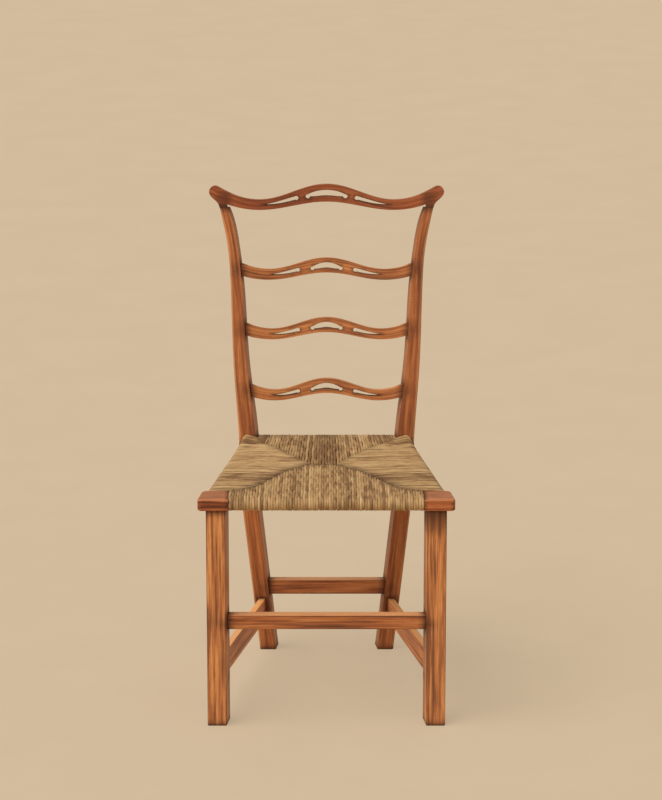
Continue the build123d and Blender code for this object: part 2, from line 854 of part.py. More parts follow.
# Rush seat: each panel is wound over its rail, and runs in to the mitre seams
seam_y = leg_front + seam_centre_depth
block_corner = (-block_inner, block_rear)
block_line = (-block_inner, block_front)
post_corner = (-post_inner_x(seat_height, post_front), post_front)
bridge_end = (-seam_bridge / 2, seam_y)
post_bite = post_width_seat / 2


def other_side(points):
    return [(-x, y) for x, y in reversed(points)]


front_plan = [block_line, block_corner, bridge_end]
rear_plan = [
    (post_corner[0] - post_bite, far),
    (post_corner[0] - post_bite, post_front + rear_rail_setback),
    post_corner,
    bridge_end,
]
left_plan = [block_corner, (-far, block_rear), (-far, post_front), post_corner, bridge_end]
front_plan = front_plan + other_side(front_plan)
rear_plan = rear_plan + other_side(rear_plan)


def rush_sections(level, span, rail_depth):
    """Shell and packing outlines across a rail: inward from its outer edge, and up from its middle."""
    cavity_half = rail_thickness / 2 + rush_clearance
    outer_half = rail_thickness / 2 + cord_diameter
    top = seat_height - rush_centre_top_drop - level
    bottom = top - rush_centre_thickness
    nose = outer_half - cord_diameter
    top_crown = (outer_half + top) / 2 + rush_crown
    bottom_crown = (bottom - outer_half) / 2 - rush_crown
    shell = make_face(Curve() + [
        ThreePointArc((nose, outer_half), (-cord_diameter, 0), (nose, -outer_half)),
        ThreePointArc((nose, outer_half), (span / 2, top_crown), (span, top)),
        ThreePointArc((nose, -outer_half), (span / 2, bottom_crown), (span, bottom)),
        Line((span, top), (span, bottom)),
    ])
    inner_top, inner_bottom = top - cord_diameter, bottom + cord_diameter
    cavity = make_face(Polyline(
        (-rush_clearance, -cavity_half),
        (rail_depth + rush_clearance, -cavity_half),
        (span, inner_bottom),
        (span, inner_top),
        (rail_depth + rush_clearance, cavity_half),
        (-rush_clearance, cavity_half),
        close=True,
    ))
    start = rail_depth + packing_clearance
    packing = make_face(Polyline(
        (start, -cavity_half + packing_clearance),
        (span, inner_bottom + packing_clearance),
        (span, inner_top - packing_clearance),
        (start, cavity_half - packing_clearance),
        close=True,
    ))
    return shell - cavity, packing


def rush_panel(frame, level, span, rail_depth, plan):
    """One panel of the seat and the packing inside it."""
    shell, packing = rush_sections(level, span, rail_depth)
    plan_face = make_face(Polyline(*plan, close=True))
    wedge = extrude(plan_face, far)
    inner_wedge = extrude(offset(plan_face, -packing_seam_gap), far)
    panel = frame * upright_plate(shell) & wedge
    stuffing = frame * upright_plate(packing) & inner_wedge
    for post in posts_plain:
        panel = panel - post
        stuffing = stuffing - post
    return one_solid(panel), one_solid(stuffing)


front_rush_frame = Pos(0, front_rail_low, rail_level) * Rot(0, 0, 90)
rear_rush_frame = Pos(0, rear_rail_high, rear_rail_level) * Rot(0, 0, -90)
front_span = seam_y - front_rail_low
rear_span = rear_rail_high - seam_y
turn = radians(side_rail_turn)
across, along = bridge_end[0] - side_rail_start[0], bridge_end[1] - side_rail_start[1]
side_span = across * cos(turn) - along * sin(turn)
rush_front, rush_packing_front = rush_panel(
    front_rush_frame, rail_level, front_span, front_rail_depth, front_plan
)
rush_rear, rush_packing_rear = rush_panel(
    rear_rush_frame, rear_rail_level, rear_span, rear_rail_depth, rear_plan
)
rush_left, rush_packing_left = rush_panel(
    side_rail_frame, rail_level, side_span, side_rail_width, left_plan
)

nodes = {
    "crest_rail": crest_rail,
    "slat_upper": pierced_slats[0],
    "slat_middle": pierced_slats[1],
    "slat_lower": pierced_slats[2],
    "seat_rail_front": seat_rail_front,
    "seat_rail_rear": seat_rail_rear,
    "stretcher_front": stretcher_front,
    "stretcher_rear": stretcher_rear,
    "rush_front": rush_front,
    "rush_rear": rush_rear,
    "rush_packing_front": rush_packing_front,
    "rush_packing_rear": rush_packing_rear,
    "crest_pegs": crest_pegs,
    "slat_pegs": slat_pegs,
    "stretcher_pegs": stretcher_pegs,
}
left_pieces = {
    "rear_post": rear_post_left,
    "front_leg": front_leg_left,
    "corner_block": corner_block_left,
    "seat_rail": seat_rail_left,
    "stretcher": stretcher_left,
    "rush": rush_left,
    "rush_packing": rush_packing_left,
}
for name, piece in left_pieces.items():
    nodes[name + "_left"] = piece
    nodes[name + "_right"] = mirrored(piece)

os.makedirs("parts", exist_ok=True)
for name, piece in nodes.items():
    export_step(piece, "parts/" + name + ".step")
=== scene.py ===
import math
import random

import bmesh
import bpy
import numpy as np
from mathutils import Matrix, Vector
from mathutils.bvhtree import BVHTree


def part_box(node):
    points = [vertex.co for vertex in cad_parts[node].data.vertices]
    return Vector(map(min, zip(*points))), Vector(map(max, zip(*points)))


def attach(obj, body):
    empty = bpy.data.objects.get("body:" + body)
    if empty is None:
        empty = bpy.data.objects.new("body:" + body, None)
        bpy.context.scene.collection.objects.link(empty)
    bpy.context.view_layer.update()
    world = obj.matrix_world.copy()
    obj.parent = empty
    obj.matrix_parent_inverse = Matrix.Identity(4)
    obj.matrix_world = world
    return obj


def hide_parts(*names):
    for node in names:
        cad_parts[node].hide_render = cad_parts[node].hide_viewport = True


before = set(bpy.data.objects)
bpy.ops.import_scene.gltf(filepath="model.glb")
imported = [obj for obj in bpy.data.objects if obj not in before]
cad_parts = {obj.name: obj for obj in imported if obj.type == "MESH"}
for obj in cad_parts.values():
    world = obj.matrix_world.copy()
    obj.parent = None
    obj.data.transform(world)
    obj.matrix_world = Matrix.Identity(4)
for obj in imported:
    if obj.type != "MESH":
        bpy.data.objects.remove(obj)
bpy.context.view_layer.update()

bl_info = {
    "name": "Side chair with a rush seat",
    "version": (1, 0, 0),
    "blender": (4, 5, 0),
    "location": "3D View > Sidebar > Side chair",
    "description": "Finishes the wood of a pierced ladder-back side chair and weaves its rush seat",
    "category": "Object",
}

RUSH_PANELS = ("rush_front", "rush_left", "rush_right", "rush_rear")
PACKINGS = ("rush_packing_front", "rush_packing_left", "rush_packing_right", "rush_packing_rear")
PEGS = ("crest_pegs", "slat_pegs", "stretcher_pegs")
SIDES = {"left": -1, "right": 1}

# Limits for the work on the wood, in metres and radians

SLICE = 0.008
SAME_PLACE = 1e-6
SKIN = 0.0001
TOUCHING = 0.0004
LEVEL_FACES = math.radians(0.2)
SHARP_EDGE = math.radians(35)
CREASE = math.radians(38)

# How far a face turns up to be a top, and the value stored on some faces: above 0 wear with a painted
# highlight, below 0 dark polish on edges and painted shade in the openings

TOP_FACING = 0.8
EDGE_FACING = 0.3
ARRIS_WEAR_AND_HIGHLIGHT = 0.9
EDGE_POLISH = -0.8
OPENING_WALL_SHADE = -0.45
OPENING_RIM_SHADE = -0.9

# The wood's figure: how fine each pattern is along, across and through the grain, and how much it shows

SWAY_SCALE = (4.0, 20.0, 20.0)
STREAK_SCALE = (6.0, 120.0, 120.0)
FIBRE_SCALE = (14.0, 620.0, 620.0)
CLOUD_SCALE = (7.0, 46.0, 46.0)
PORE_SCALE = (48.0, 1300.0, 1300.0)
RING_TILT = 0.010
RING_SWAY = 0.012
RING_SHARE = 0.9
STREAK_SHARE = 1.7
CLOUD_SHARE = 0.8
PORE_COVER = 0.55
# How strongly dirt and painted shade at joints and openings, and dark polish and painted shade on edges,
# darken the wood
GRIME_AND_SHADE_COVER = 0.85
POLISH_AND_SHADE_COVER = 0.7

# The look of the rush: how fine its patterns are, and how much each of them shows

LEAF_SCALE = 30.0
STRETCH_SCALE = 24.0
ROW_SCALE = 0.6
LEAF_SHARE = 0.9
PATCH_SHARE = 0.5
STRETCH_SHARE = 1.9
GREEN_COVER = 0.4
# How strongly painted shade darkens the grooves of the cords and the seams
GROOVE_SHADE_COVER = 0.08
SEAM_SHADE_COVER = 0.9

# How the cords of the seat lie, in metres

PATH_STEP = 0.011
SEAM_STEP = 0.0005
SHORTEST_CORD = 0.03
EDGE_CLEARANCE = 0.0002
REAR_INSET = 0.0065
CORD_WANDER = 0.0005
CORD_WAVE = 0.0003
WAVE_RANGE = (90, 150)
BED_RANGE = (-0.0004, 0.0003)
NOSE_SINK = 0.0005
DIVE_TURNS = (25, 50, 75, 90)
DIVE_TAIL = 0.004
# How far before a seam the painted seam shade begins
SEAM_SHADE_REACH = 0.025
SEAM_OVERLAP = 0.001
FRONT_STAGGER = -0.0025
SIDE_STAGGER = (-0.002, 0.003)
SIDE_REAR_OVERLAP = 0.005
CORNER_REACH = 0.045
CORNER_DRAW = 0.3
HUMP_RISE = 0.011
HUMP_FALL = 0.03
HUMP_DROP = 0.6
CORD_FULLNESS = 1.10
CORD_SIDES = 12

# How uneven the cords are: their room beside each other, and their tone from one to the next

ROOM_SPREAD = 0.10
THICK_CHANCE = 0.10
THICK_ROOM = 0.18
WIDEST_GIRTH = 1.08
TONE_MEMORY = 0.75
TONE_DRIFT = 0.15
TONE_SPREAD = 0.16
BROWN_CHANCE = 0.18
BROWN_SHIFT = 0.28

# How much each panel of rush is painted lighter or darker than the middle tone, for how the light falls on
# it, and how much painted shade darkens its seams

FRONT_SHADE = -0.03
REAR_SHADE = -0.08
SIDE_SHADE = 0.14
FRONT_SEAM_SHADE = 0.55
REAR_SEAM_SHADE = 0.15
SIDE_FRONT_SEAM_SHADE = 0.6
SIDE_REAR_SEAM_SHADE = 0.3

# The light and the camera's film

SUN_PLACE = (-2.6, -1.8, 3.9)
SUN_AIM = (0.0, 0.0, 0.5)
SUN_WIDTH = math.radians(60)
SUN_TINT = (1.0, 0.97, 0.92)
SKY_TINT = (1.0, 0.98, 0.95)
PAPER_BRIGHTNESS = 0.85
FILM_WIDTH = 36.0


def painted(red, green, blue):
    """A colour picked on a screen, 0 to 255, turned into the values that light is worked out in."""
    values = []
    for value in (red, green, blue):
        share = value / 255
        values.append(share / 12.92 if share <= 0.04045 else ((share + 0.055) / 1.055) ** 2.4)
    return tuple(values)


def opaque(colour):
    """A colour with full cover, as colour sockets take it."""
    return (colour[0], colour[1], colour[2], 1.0)


def shaded(colour, factor):
    """A colour made lighter or darker."""
    return tuple(min(1.0, part * factor) for part in colour)


def tinted(colour, factors):
    """A colour with its red, green and blue each made lighter or darker."""
    return tuple(min(1.0, part * factor) for part, factor in zip(colour, factors))


# Places on the seat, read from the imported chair

RAIL_LOW, RAIL_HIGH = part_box("seat_rail_front")
REAR_RAIL_LOW, REAR_RAIL_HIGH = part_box("seat_rail_rear")
FRONT_LOW, FRONT_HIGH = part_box("rush_front")
REAR_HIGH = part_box("rush_rear")[1]
BLOCK_LOW, BLOCK_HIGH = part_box("corner_block_right")
POST_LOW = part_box("rear_post_right")[0]
CORD = RAIL_LOW.y - FRONT_LOW.y
RAIL_LEVEL = (RAIL_LOW.z + RAIL_HIGH.z) / 2
REAR_RAIL_LEVEL = (REAR_RAIL_LOW.z + REAR_RAIL_HIGH.z) / 2
NOSE = (RAIL_HIGH.z - RAIL_LOW.z) / 2 + CORD
SEAM_CENTRE = FRONT_HIGH.y
BLOCK_CORNER = Vector((BLOCK_LOW.x, BLOCK_HIGH.y))
POST_CORNER = Vector((REAR_HIGH.x, POST_LOW.y))


def length_setting(label, words, value):
    """A size that a user may change, in metres."""
    return bpy.props.FloatProperty(name=label, description=words, default=value, precision=4, unit="LENGTH")


def share_setting(label, words, value):
    """A plain number that a user may change."""
    return bpy.props.FloatProperty(name=label, description=words, default=value, precision=3)


def colour_setting(label, words, value):
    """A colour that a user may change."""
    return bpy.props.FloatVectorProperty(
        name=label, description=words, default=value, subtype="COLOR", min=0.0, max=1.0
    )


class ChairWoodSettings(bpy.types.PropertyGroup):
    """Sizes and colours of the wood."""

    post_round: length_setting("Post edges", "Rounding of the rear posts' edges", 0.0014)
    post_arris: length_setting("Post arris", "Rounding of the rear posts' outer front edges", 0.0050)
    leg_round: length_setting("Leg edges", "Rounding of the front legs' long edges", 0.0014)
    rail_round: length_setting("Rail edges", "Rounding of crest, slats and stretchers", 0.0011)
    block_round: length_setting("Block edges", "Rounding of the corner blocks", 0.0010)
    ring_width: length_setting("Ring width", "Distance between the wood's growth rings", 0.0045)
    # The wood is darkened near its joints with dirt and painted shade
    grime_and_shade_reach: length_setting("Grime reach", "How far from a joint the wood is darkened", 0.016)
    block_grime_and_shade_reach: length_setting("Block grime reach", "The same for the corner blocks", 0.005)
    # The walls and rims of the openings get painted shade: which openings, how far it spreads and how dark
    # it is
    opening_width: length_setting("Opening width", "Widest opening whose walls have gone dark", 0.09)
    opening_shade_reach: length_setting("Opening grime reach", "How far the dirt spreads there", 0.0018)
    opening_shade: share_setting("Opening dirt", "How dark the walls of the openings are, 1 is full", 0.65)
    foot_stain: length_setting("Foot stain", "How far floor dirt climbs up the feet", 0.012)
    # Painted shade on the crest above the rear posts and on the front legs under the corner blocks
    crest_shade: length_setting("Crest stain", "Dark stain on the crest above the rear posts", 0.013)
    left_leg_shade: length_setting("Left leg stain", "Dark stain under the left corner block", 0.016)
    right_leg_shade: length_setting("Right leg stain", "Dark stain under the right corner block", 0.050)
    post_colour: colour_setting("Posts", "Colour of the rear posts", painted(172, 102, 58))
    crest_colour: colour_setting("Crest", "Colour of the crest rail", painted(152, 83, 49))
    slat_colour: colour_setting("Slats", "Colour of the back slats", painted(182, 112, 65))
    leg_colour: colour_setting("Legs", "Colour of the front legs", painted(187, 118, 69))
    block_colour: colour_setting("Blocks", "Colour of the corner blocks", painted(156, 85, 48))
    stretcher_colour: colour_setting("Stretchers", "Colour of the stretchers", painted(170, 101, 58))
    side_stretcher_colour: colour_setting("Side stretchers", "Colour at the sides", painted(192, 113, 62))
    rail_colour: colour_setting("Seat rails", "Colour of the rails under the rush", painted(172, 128, 84))
    peg_colour: colour_setting("Pegs", "Colour of the pegs' end grain", painted(104, 62, 38))
    # Colour of the dirt and painted shade at joints and openings, and of the dark polish and painted shade
    # on edges
    grime_and_shade_colour: colour_setting("Grime", "Colour of the dirt in corners and joints", painted(58, 32, 22))


class ChairRushSettings(bpy.types.PropertyGroup):
    """Sizes and colours of the rush seat."""

    cord_spacing: length_setting("Cord spacing", "Distance between neighbouring cords", 0.00485)
    twist_length: length_setting("Twist length", "Length of one full turn of a cord's fibres", 0.045)
    squareness: share_setting("Squareness", "2 is a round cord, more is pressed flat by the next", 4.0)
    step: length_setting("Cord step", "Length of one facet along a cord", 0.0045)
    dive_radius: length_setting("Dive radius", "Bend where a cord goes down at a seam", 0.0055)
    front_seam_bend: share_setting("Front seam bend", "Share of a front seam that bends", 0.75)
    rear_bow_left: length_setting("Left rear seam bow", "Bow of the left rear seam to the back", -0.004)
    rear_bow_right: length_setting("Right rear seam bow", "Bow of the right rear seam to the back", 0.012)
    bridge_left: length_setting("Left bridge", "Centre line to the left panel's tip", 0.034)
    bridge_right: length_setting("Right bridge", "Centre line to the right panel's tip", 0.021)
    corner_rise: length_setting("Corner rise", "How far the rush climbs at the rear posts", 0.019)
    side_slope: share_setting("Side slope", "How far side cords run forwards on the way in", 0.15)
    front_fan: share_setting("Front fan", "How far the outer front cords lean inwards", 0.015)
    rear_fan: share_setting("Rear fan", "How far the outer rear cords lean outwards, past the posts", 0.12)
    straw: colour_setting("Straw", "Main colour of the rush", painted(178, 140, 94))
    pale_straw: colour_setting("Pale straw", "Lightest cords", painted(204, 170, 120))
    brown_straw: colour_setting("Brown straw", "Darkest cords", painted(126, 92, 58))
    olive_straw: colour_setting("Olive straw", "Greenish patches", painted(154, 126, 78))
    # Colour of the painted shade in the seams and grooves, also the darkest colour of the packing
    shadow_straw: colour_setting("Seam", "Dirt in the seams and grooves", painted(70, 48, 26))
    seed: bpy.props.IntProperty(name="Seed", description="Picks how uneven the weave is", default=11)


class ChairStageSettings(bpy.types.PropertyGroup):
    """The floor, the light and the camera."""

    floor_colour: colour_setting("Floor", "Colour of the pale floor", painted(209, 187, 157))
    floor_glow: share_setting("Floor glow", "Share of the floor's colour that no shadow reaches", 0.65)
    floor_size: length_setting("Floor size", "Width of the floor", 60.0)
    camera_place: bpy.props.FloatVectorProperty(
        name="Camera", description="Where the camera stands", default=(0.00864, -6.2335, 2.23127),
        subtype="TRANSLATION", unit="LENGTH",
    )
    camera_pitch: bpy.props.FloatProperty(
        name="Camera pitch", description="How far the camera looks down",
        default=math.radians(14.8959), subtype="ANGLE",
    )
    lens: bpy.props.FloatProperty(
        name="Lens", description="Focal length in millimetres", default=152.27, subtype="DISTANCE_CAMERA"
    )
    key_power: share_setting("Key light", "Strength of the soft sunlight from the upper left", 2.45)
    sky: share_setting("Sky", "Strength of the light from all round", 0.48)


class ChairSettings(bpy.types.PropertyGroup):
    """Everything about the chair that a user may change."""

    wood: bpy.props.PointerProperty(type=ChairWoodSettings)
    rush: bpy.props.PointerProperty(type=ChairRushSettings)
    stage: bpy.props.PointerProperty(type=ChairStageSettings)


class Wire:
    """One output socket. Arithmetic on wires adds Math nodes to their tree."""

    def __init__(self, tree, socket):
        self.tree = tree
        self.socket = socket

    def math(self, operation, first, second):
        return self.tree.add("ShaderNodeMath", {"operation": operation}, {0: first, 1: second})

    def __add__(self, other):
        return self.math("ADD", self, other)

    def __radd__(self, other):
        return self.math("ADD", other, self)

    def __sub__(self, other):
        return self.math("SUBTRACT", self, other)

    def __rsub__(self, other):
        return self.math("SUBTRACT", other, self)

    def __mul__(self, other):
        return self.math("MULTIPLY", self, other)

    def __rmul__(self, other):
        return self.math("MULTIPLY", other, self)

    def __truediv__(self, other):
        return self.math("DIVIDE", self, other)

    def __rtruediv__(self, other):
        return self.math("DIVIDE", other, self)

    def __pow__(self, other):
        return self.math("POWER", self, other)


class Tree:
    """A node tree, shader or geometry, that nodes are added to one call at a time."""

    def __init__(self, node_tree):
        self.nodes = node_tree.nodes
        self.links = node_tree.links
        self.nodes.clear()

    def add(self, kind, settings=None, sockets=None, output=0):
        node = self.nodes.new(kind)
        for name, value in (settings or {}).items():
            if name == "stops":
                self.set_stops(node.color_ramp, value)
            else:
                setattr(node, name, value)
        for name, value in (sockets or {}).items():
            if isinstance(value, Wire):
                self.links.new(value.socket, node.inputs[name])
            else:
                node.inputs[name].default_value = value
        return Wire(self, node.outputs[output]) if len(node.outputs) else None

    def seen(self):
        """1 for what is seen straight, in a gloss or through glass, and 0 for what only lights others."""
        rays = self.nodes.new("ShaderNodeLightPath")
        seen = Wire(self, rays.outputs["Is Camera Ray"])
        for name in ("Is Glossy Ray", "Is Transmission Ray"):
            other = Wire(self, rays.outputs[name])
            seen = self.add("ShaderNodeMath", {"operation": "MAXIMUM"}, {0: seen, 1: other})
        return seen

    def set_stops(self, ramp, stops):
        while len(ramp.elements) < len(stops):
            ramp.elements.new(1.0)
        for element, (place, colour) in zip(ramp.elements, stops):
            element.position = place
            element.color = opaque(colour)


class Finish(Tree):
    """A material made of nodes."""

    def __init__(self, name):
        self.material = bpy.data.materials.new(name)
        self.material.use_nodes = True
        super().__init__(self.material.node_tree)

    def attribute(self, name, output):
        return self.add("ShaderNodeAttribute", {"attribute_name": name}, {}, output)

    def object_place(self):
        return self.add("ShaderNodeTexCoord", {}, {}, "Object")

    def stretched(self, vector, scale):
        return self.add("ShaderNodeVectorMath", {"operation": "MULTIPLY"}, {0: vector, 1: scale})

    def noise(self, vector, detail, scale=1.0):
        sockets = {"Vector": vector, "Scale": scale, "Detail": detail, "Roughness": 0.55}
        return self.add("ShaderNodeTexNoise", {}, sockets)

    def ramp(self, value, stops):
        return self.add("ShaderNodeValToRGB", {"stops": stops}, {"Fac": value})

    def mixed(self, factor, first, second):
        if not isinstance(first, Wire):
            first = opaque(first)
        if not isinstance(second, Wire):
            second = opaque(second)
        return self.add("ShaderNodeMix", {"data_type": "RGBA"}, {0: factor, 6: first, 7: second}, 2)

    def shader(self, colour, roughness, height, depth, constants):
        bump = self.add("ShaderNodeBump", {}, {"Height": height, "Distance": depth, "Strength": 1.0})
        sockets = {"Base Color": colour, "Roughness": roughness, "Normal": bump}
        sockets.update(constants)
        return self.add("ShaderNodeBsdfPrincipled", {}, sockets)

    def surface(self, *looks):
        self.add("ShaderNodeOutputMaterial", {}, {"Surface": self.shader(*looks)})
        return self.material


# Finishes

def wood_tone(paint, grain, ring_width, figure):
    """Rings, fibres, clouds and pores of wood at a place given as along, across and through the grain."""
    along = paint.add("ShaderNodeSeparateXYZ", {}, {"Vector": grain}, "X")
    sway = paint.noise(paint.stretched(grain, SWAY_SCALE), 2.0)
    across = paint.stretched(grain, (0.0, 1.0, 1.0))
    radius = paint.add("ShaderNodeVectorMath", {"operation": "LENGTH"}, {0: across}, "Value")
    ring_place = (radius + along * RING_TILT + (sway - 0.5) * RING_SWAY) / ring_width
    rings = paint.add(
        "ShaderNodeTexNoise", {"noise_dimensions": "1D"}, {"W": ring_place, "Scale": 1.0, "Detail": 2.0}
    )
    streaks = paint.noise(paint.stretched(grain, STREAK_SCALE), 3.0)
    fibres = paint.noise(paint.stretched(grain, FIBRE_SCALE), 3.0)
    clouds = paint.noise(paint.stretched(grain, CLOUD_SCALE), 2.0)
    pores = paint.noise(paint.stretched(grain, PORE_SCALE), 1.0)
    pattern = (rings - 0.5) * RING_SHARE + (streaks - 0.5) * STREAK_SHARE
    pattern = pattern + (fibres - 0.5) + (clouds - 0.5) * CLOUD_SHARE
    return 0.5 + pattern * figure, fibres, clouds, pores


def wood_colour(paint, tone, pores, colour):
    """Dark, middle and light wood, with the pores as fine dark flecks."""
    stops = [
        (0.10, tinted(colour, (0.40, 0.42, 0.58))),
        (0.42, tinted(colour, (0.84, 0.80, 0.86))),
        (0.62, tinted(colour, (1.14, 1.18, 1.16))),
        (0.92, tinted(colour, (1.50, 1.74, 1.80))),
    ]
    base = paint.ramp(tone, stops)
    flecks = paint.ramp(pores, [(0.60, (0.0, 0.0, 0.0)), (0.72, (1.0, 1.0, 1.0))])
    return paint.mixed(flecks * PORE_COVER, base, shaded(colour, 0.35))


def wood_finish(name, colour, wood, figure, worn_and_lit_tint):
    """Waxed wood whose figure follows each piece, worn and painted pale on its tops and upward edges, with
    dark polish on its edges, painted shade on downward edges and in openings, and dirt and painted shade at
    joints.
    """
    paint = Finish(name)
    grain = paint.attribute("grain", "Vector")
    tone, fibres, clouds, pores = wood_tone(paint, grain, wood.ring_width, figure)
    base = wood_colour(paint, tone, pores, colour)
    # Dirt and painted shade near joints, under the corner blocks and in the openings, with floor dirt on
    # the feet
    grime = paint.attribute("grime", "Fac") * (clouds * 0.8 + 0.6)
    edge = paint.attribute("edge", "Fac")
    # Wear with painted highlights on tops, upward edges and the posts' outer front edges; dark polish on
    # edges, painted shade on downward edges and in the openings
    paling = paint.add("ShaderNodeMath", {"operation": "MAXIMUM"}, {0: edge, 1: 0.0}) * (fibres * 0.8 + 0.25)
    polish_and_shade = paint.add("ShaderNodeMath", {"operation": "MAXIMUM"}, {0: edge * -1.0, 1: 0.0})
    worn_and_lit = paint.mixed(paling, base, tinted(colour, worn_and_lit_tint))
    dirty_and_shaded = paint.mixed(grime * GRIME_AND_SHADE_COVER + polish_and_shade * POLISH_AND_SHADE_COVER, worn_and_lit, wood.grime_and_shade_colour)
    roughness = 0.40 + (fibres - 0.5) * 0.25 + grime * 0.25
    height = fibres * 0.6 - pores * 0.4
    return paint.surface(dirty_and_shaded, roughness, height, 0.00025, {"Specular IOR Level": 0.2})


def bare_wood_finish(name, colour, wood, along_x):
    """Plain sawn wood for the hidden rails, with its grain along X or along Y."""
    paint = Finish(name)
    turn = (0.0, 0.0, 0.0) if along_x else (0.0, 0.0, math.radians(90))
    log_place = {"Vector": paint.object_place(), "Rotation": turn, "Location": (0.3, 0.12, 0.05)}
    grain = paint.add("ShaderNodeMapping", {}, log_place)
    tone, fibres, clouds, pores = wood_tone(paint, grain, wood.ring_width, 1.0)
    base = wood_colour(paint, tone, pores, colour)
    return paint.surface(base, 0.62 + (clouds - 0.5) * 0.2, fibres, 0.0004, {})


def peg_finish(name, wood):
    """End grain of the pegs: fine dark specks."""
    paint = Finish(name)
    place = paint.object_place()
    specks = paint.noise(place, 3.0, 1400.0)
    clouds = paint.noise(place, 2.0, 160.0)
    colour = wood.peg_colour
    stops = [(0.35, shaded(colour, 0.5)), (0.5, colour), (0.66, shaded(colour, 1.6))]
    base = paint.ramp(specks * 0.6 + clouds * 0.4, stops)
    return paint.surface(base, 0.5 + (specks - 0.5) * 0.3, specks, 0.0003, {})


def rush_finish(name, rush):
    """Twisted rush: each cord has its own tone, painted lighter or darker for each panel, fibres that wind
    round it and dark stretches, with painted shade in its grooves and at the seams.
    """
    paint = Finish(name)
    tone = paint.attribute("tone", "Fac")
    around = paint.attribute("around", "Fac")
    along = paint.attribute("along", "Fac")
    sunk = paint.attribute("sunk", "Fac")
    turn = (around + along / rush.twist_length) * (2 * math.pi)
    wound = {
        "X": along * LEAF_SCALE,
        "Y": paint.add("ShaderNodeMath", {"operation": "COSINE"}, {0: turn}) * 2.0,
        "Z": paint.add("ShaderNodeMath", {"operation": "SINE"}, {0: turn}) * 2.0,
    }
    leaf = paint.add("ShaderNodeCombineXYZ", {}, wound)
    fibres = paint.add(
        "ShaderNodeTexNoise", {"noise_dimensions": "4D"},
        {"Vector": leaf, "W": tone * 60.0, "Scale": 1.0, "Detail": 3.0, "Roughness": 0.6},
    )
    patches = paint.noise(paint.object_place(), 2.0, 24.0)
    strand = {"X": along * STRETCH_SCALE, "Y": paint.attribute("row", "Fac") * ROW_SCALE}
    stretches = paint.noise(paint.add("ShaderNodeCombineXYZ", {}, strand), 2.0)
    value = tone + (fibres - 0.5) * LEAF_SHARE + (patches - 0.5) * PATCH_SHARE
    value = value + (stretches - 0.5) * STRETCH_SHARE
    stops = [(0.05, rush.brown_straw), (0.50, rush.straw), (0.95, rush.pale_straw)]
    base = paint.ramp(value, stops)
    green = paint.ramp(patches, [(0.50, (0.0, 0.0, 0.0)), (0.66, (1.0, 1.0, 1.0))])
    base = paint.mixed(green * GREEN_COVER, base, rush.olive_straw)
    # Painted shade in the grooves of each cord and at the seams
    sideways = paint.add("ShaderNodeMath", {"operation": "COSINE"}, {0: around * (4 * math.pi)})
    groove_shade = (0.5 + sideways * 0.5) ** 3.0
    dark = groove_shade * GROOVE_SHADE_COVER + sunk * SEAM_SHADE_COVER
    colour = paint.mixed(dark, base, rush.shadow_straw)
    return paint.surface(colour, 0.62 + (fibres - 0.5) * 0.3, fibres, 0.0006, {"Specular IOR Level": 0.3})


def packing_finish(name, rush):
    """Broken rush stuffed into the seat, coloured partly with the painted seam shade, so that it shows dark
    between the cords.
    """
    paint = Finish(name)
    place = paint.object_place()
    straws = paint.noise(paint.stretched(place, (220.0, 60.0, 300.0)), 4.0)
    clouds = paint.noise(place, 2.0, 30.0)
    stops = [(0.3, rush.shadow_straw), (0.55, shaded(rush.brown_straw, 0.8)), (0.8, rush.straw)]
    base = paint.ramp(straws * 0.7 + clouds * 0.3, stops)
    return paint.surface(base, 0.85 + (clouds - 0.5) * 0.1, straws, 0.002, {})


def floor_finish(name, stage):
    """Plain matt paper, with a share of its own pale colour showing, so that shadows on it stay faint."""
    paint = Finish(name)
    mottle = paint.noise(paint.object_place(), 3.0, 5.0)
    colour = stage.floor_colour
    base = paint.ramp(mottle, [(0.3, shaded(colour, 0.985)), (0.7, shaded(colour, 1.015))])
    matt = paint.shader(base, 0.9 + (mottle - 0.5) * 0.05, mottle, 0.0002, {"Specular IOR Level": 0.1})
    pale = paint.add("ShaderNodeEmission", {}, {"Color": base, "Strength": 1.0})
    both = paint.add("ShaderNodeMixShader", {}, {0: paint.seen() * stage.floor_glow, 1: matt, 2: pale})
    paint.add("ShaderNodeOutputMaterial", {}, {"Surface": both})
    return paint.material


# Making pieces

def tree_of(names):
    """A search tree over the faces of some nodes."""
    points = []
    faces = []
    for name in names:
        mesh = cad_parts[name].data
        start = len(points)
        points.extend(vertex.co.copy() for vertex in mesh.vertices)
        faces.extend([start + corner for corner in face.vertices] for face in mesh.polygons)
    return BVHTree.FromPolygons(points, faces)


def settled(piece):
    """Turns a piece and its modifiers into a plain mesh."""
    depsgraph = bpy.context.evaluated_depsgraph_get()
    evaluated = piece.evaluated_get(depsgraph)
    mesh = bpy.data.meshes.new_from_object(evaluated, preserve_all_data_layers=True, depsgraph=depsgraph)
    mesh.name = piece.name
    piece.modifiers.clear()
    piece.data = mesh


def placed(piece, slot, *nodes):
    """Puts a finished piece on the chair in place of its nodes."""
    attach(piece, "root")
    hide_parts(*nodes)


def dressed(name, material):
    """Gives a node that keeps its shape a better finish."""
    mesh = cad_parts[name].data
    mesh.materials.clear()
    mesh.materials.append(material)


def slice_along(work, axis, spacing):
    """Cuts a mesh across one axis, so that what is stored on its corners can vary along it."""
    low = min(corner.co[axis] for corner in work.verts)
    high = max(corner.co[axis] for corner in work.verts)
    count = int((high - low) / spacing)
    direction = Vector((0.0, 0.0, 0.0))
    direction[axis] = 1.0
    for number in range(1, count):
        place = direction * (low + (high - low) * number / count)
        everything = work.verts[:] + work.edges[:] + work.faces[:]
        bmesh.ops.bisect_plane(work, geom=everything, dist=SAME_PLACE, plane_co=place, plane_no=direction)


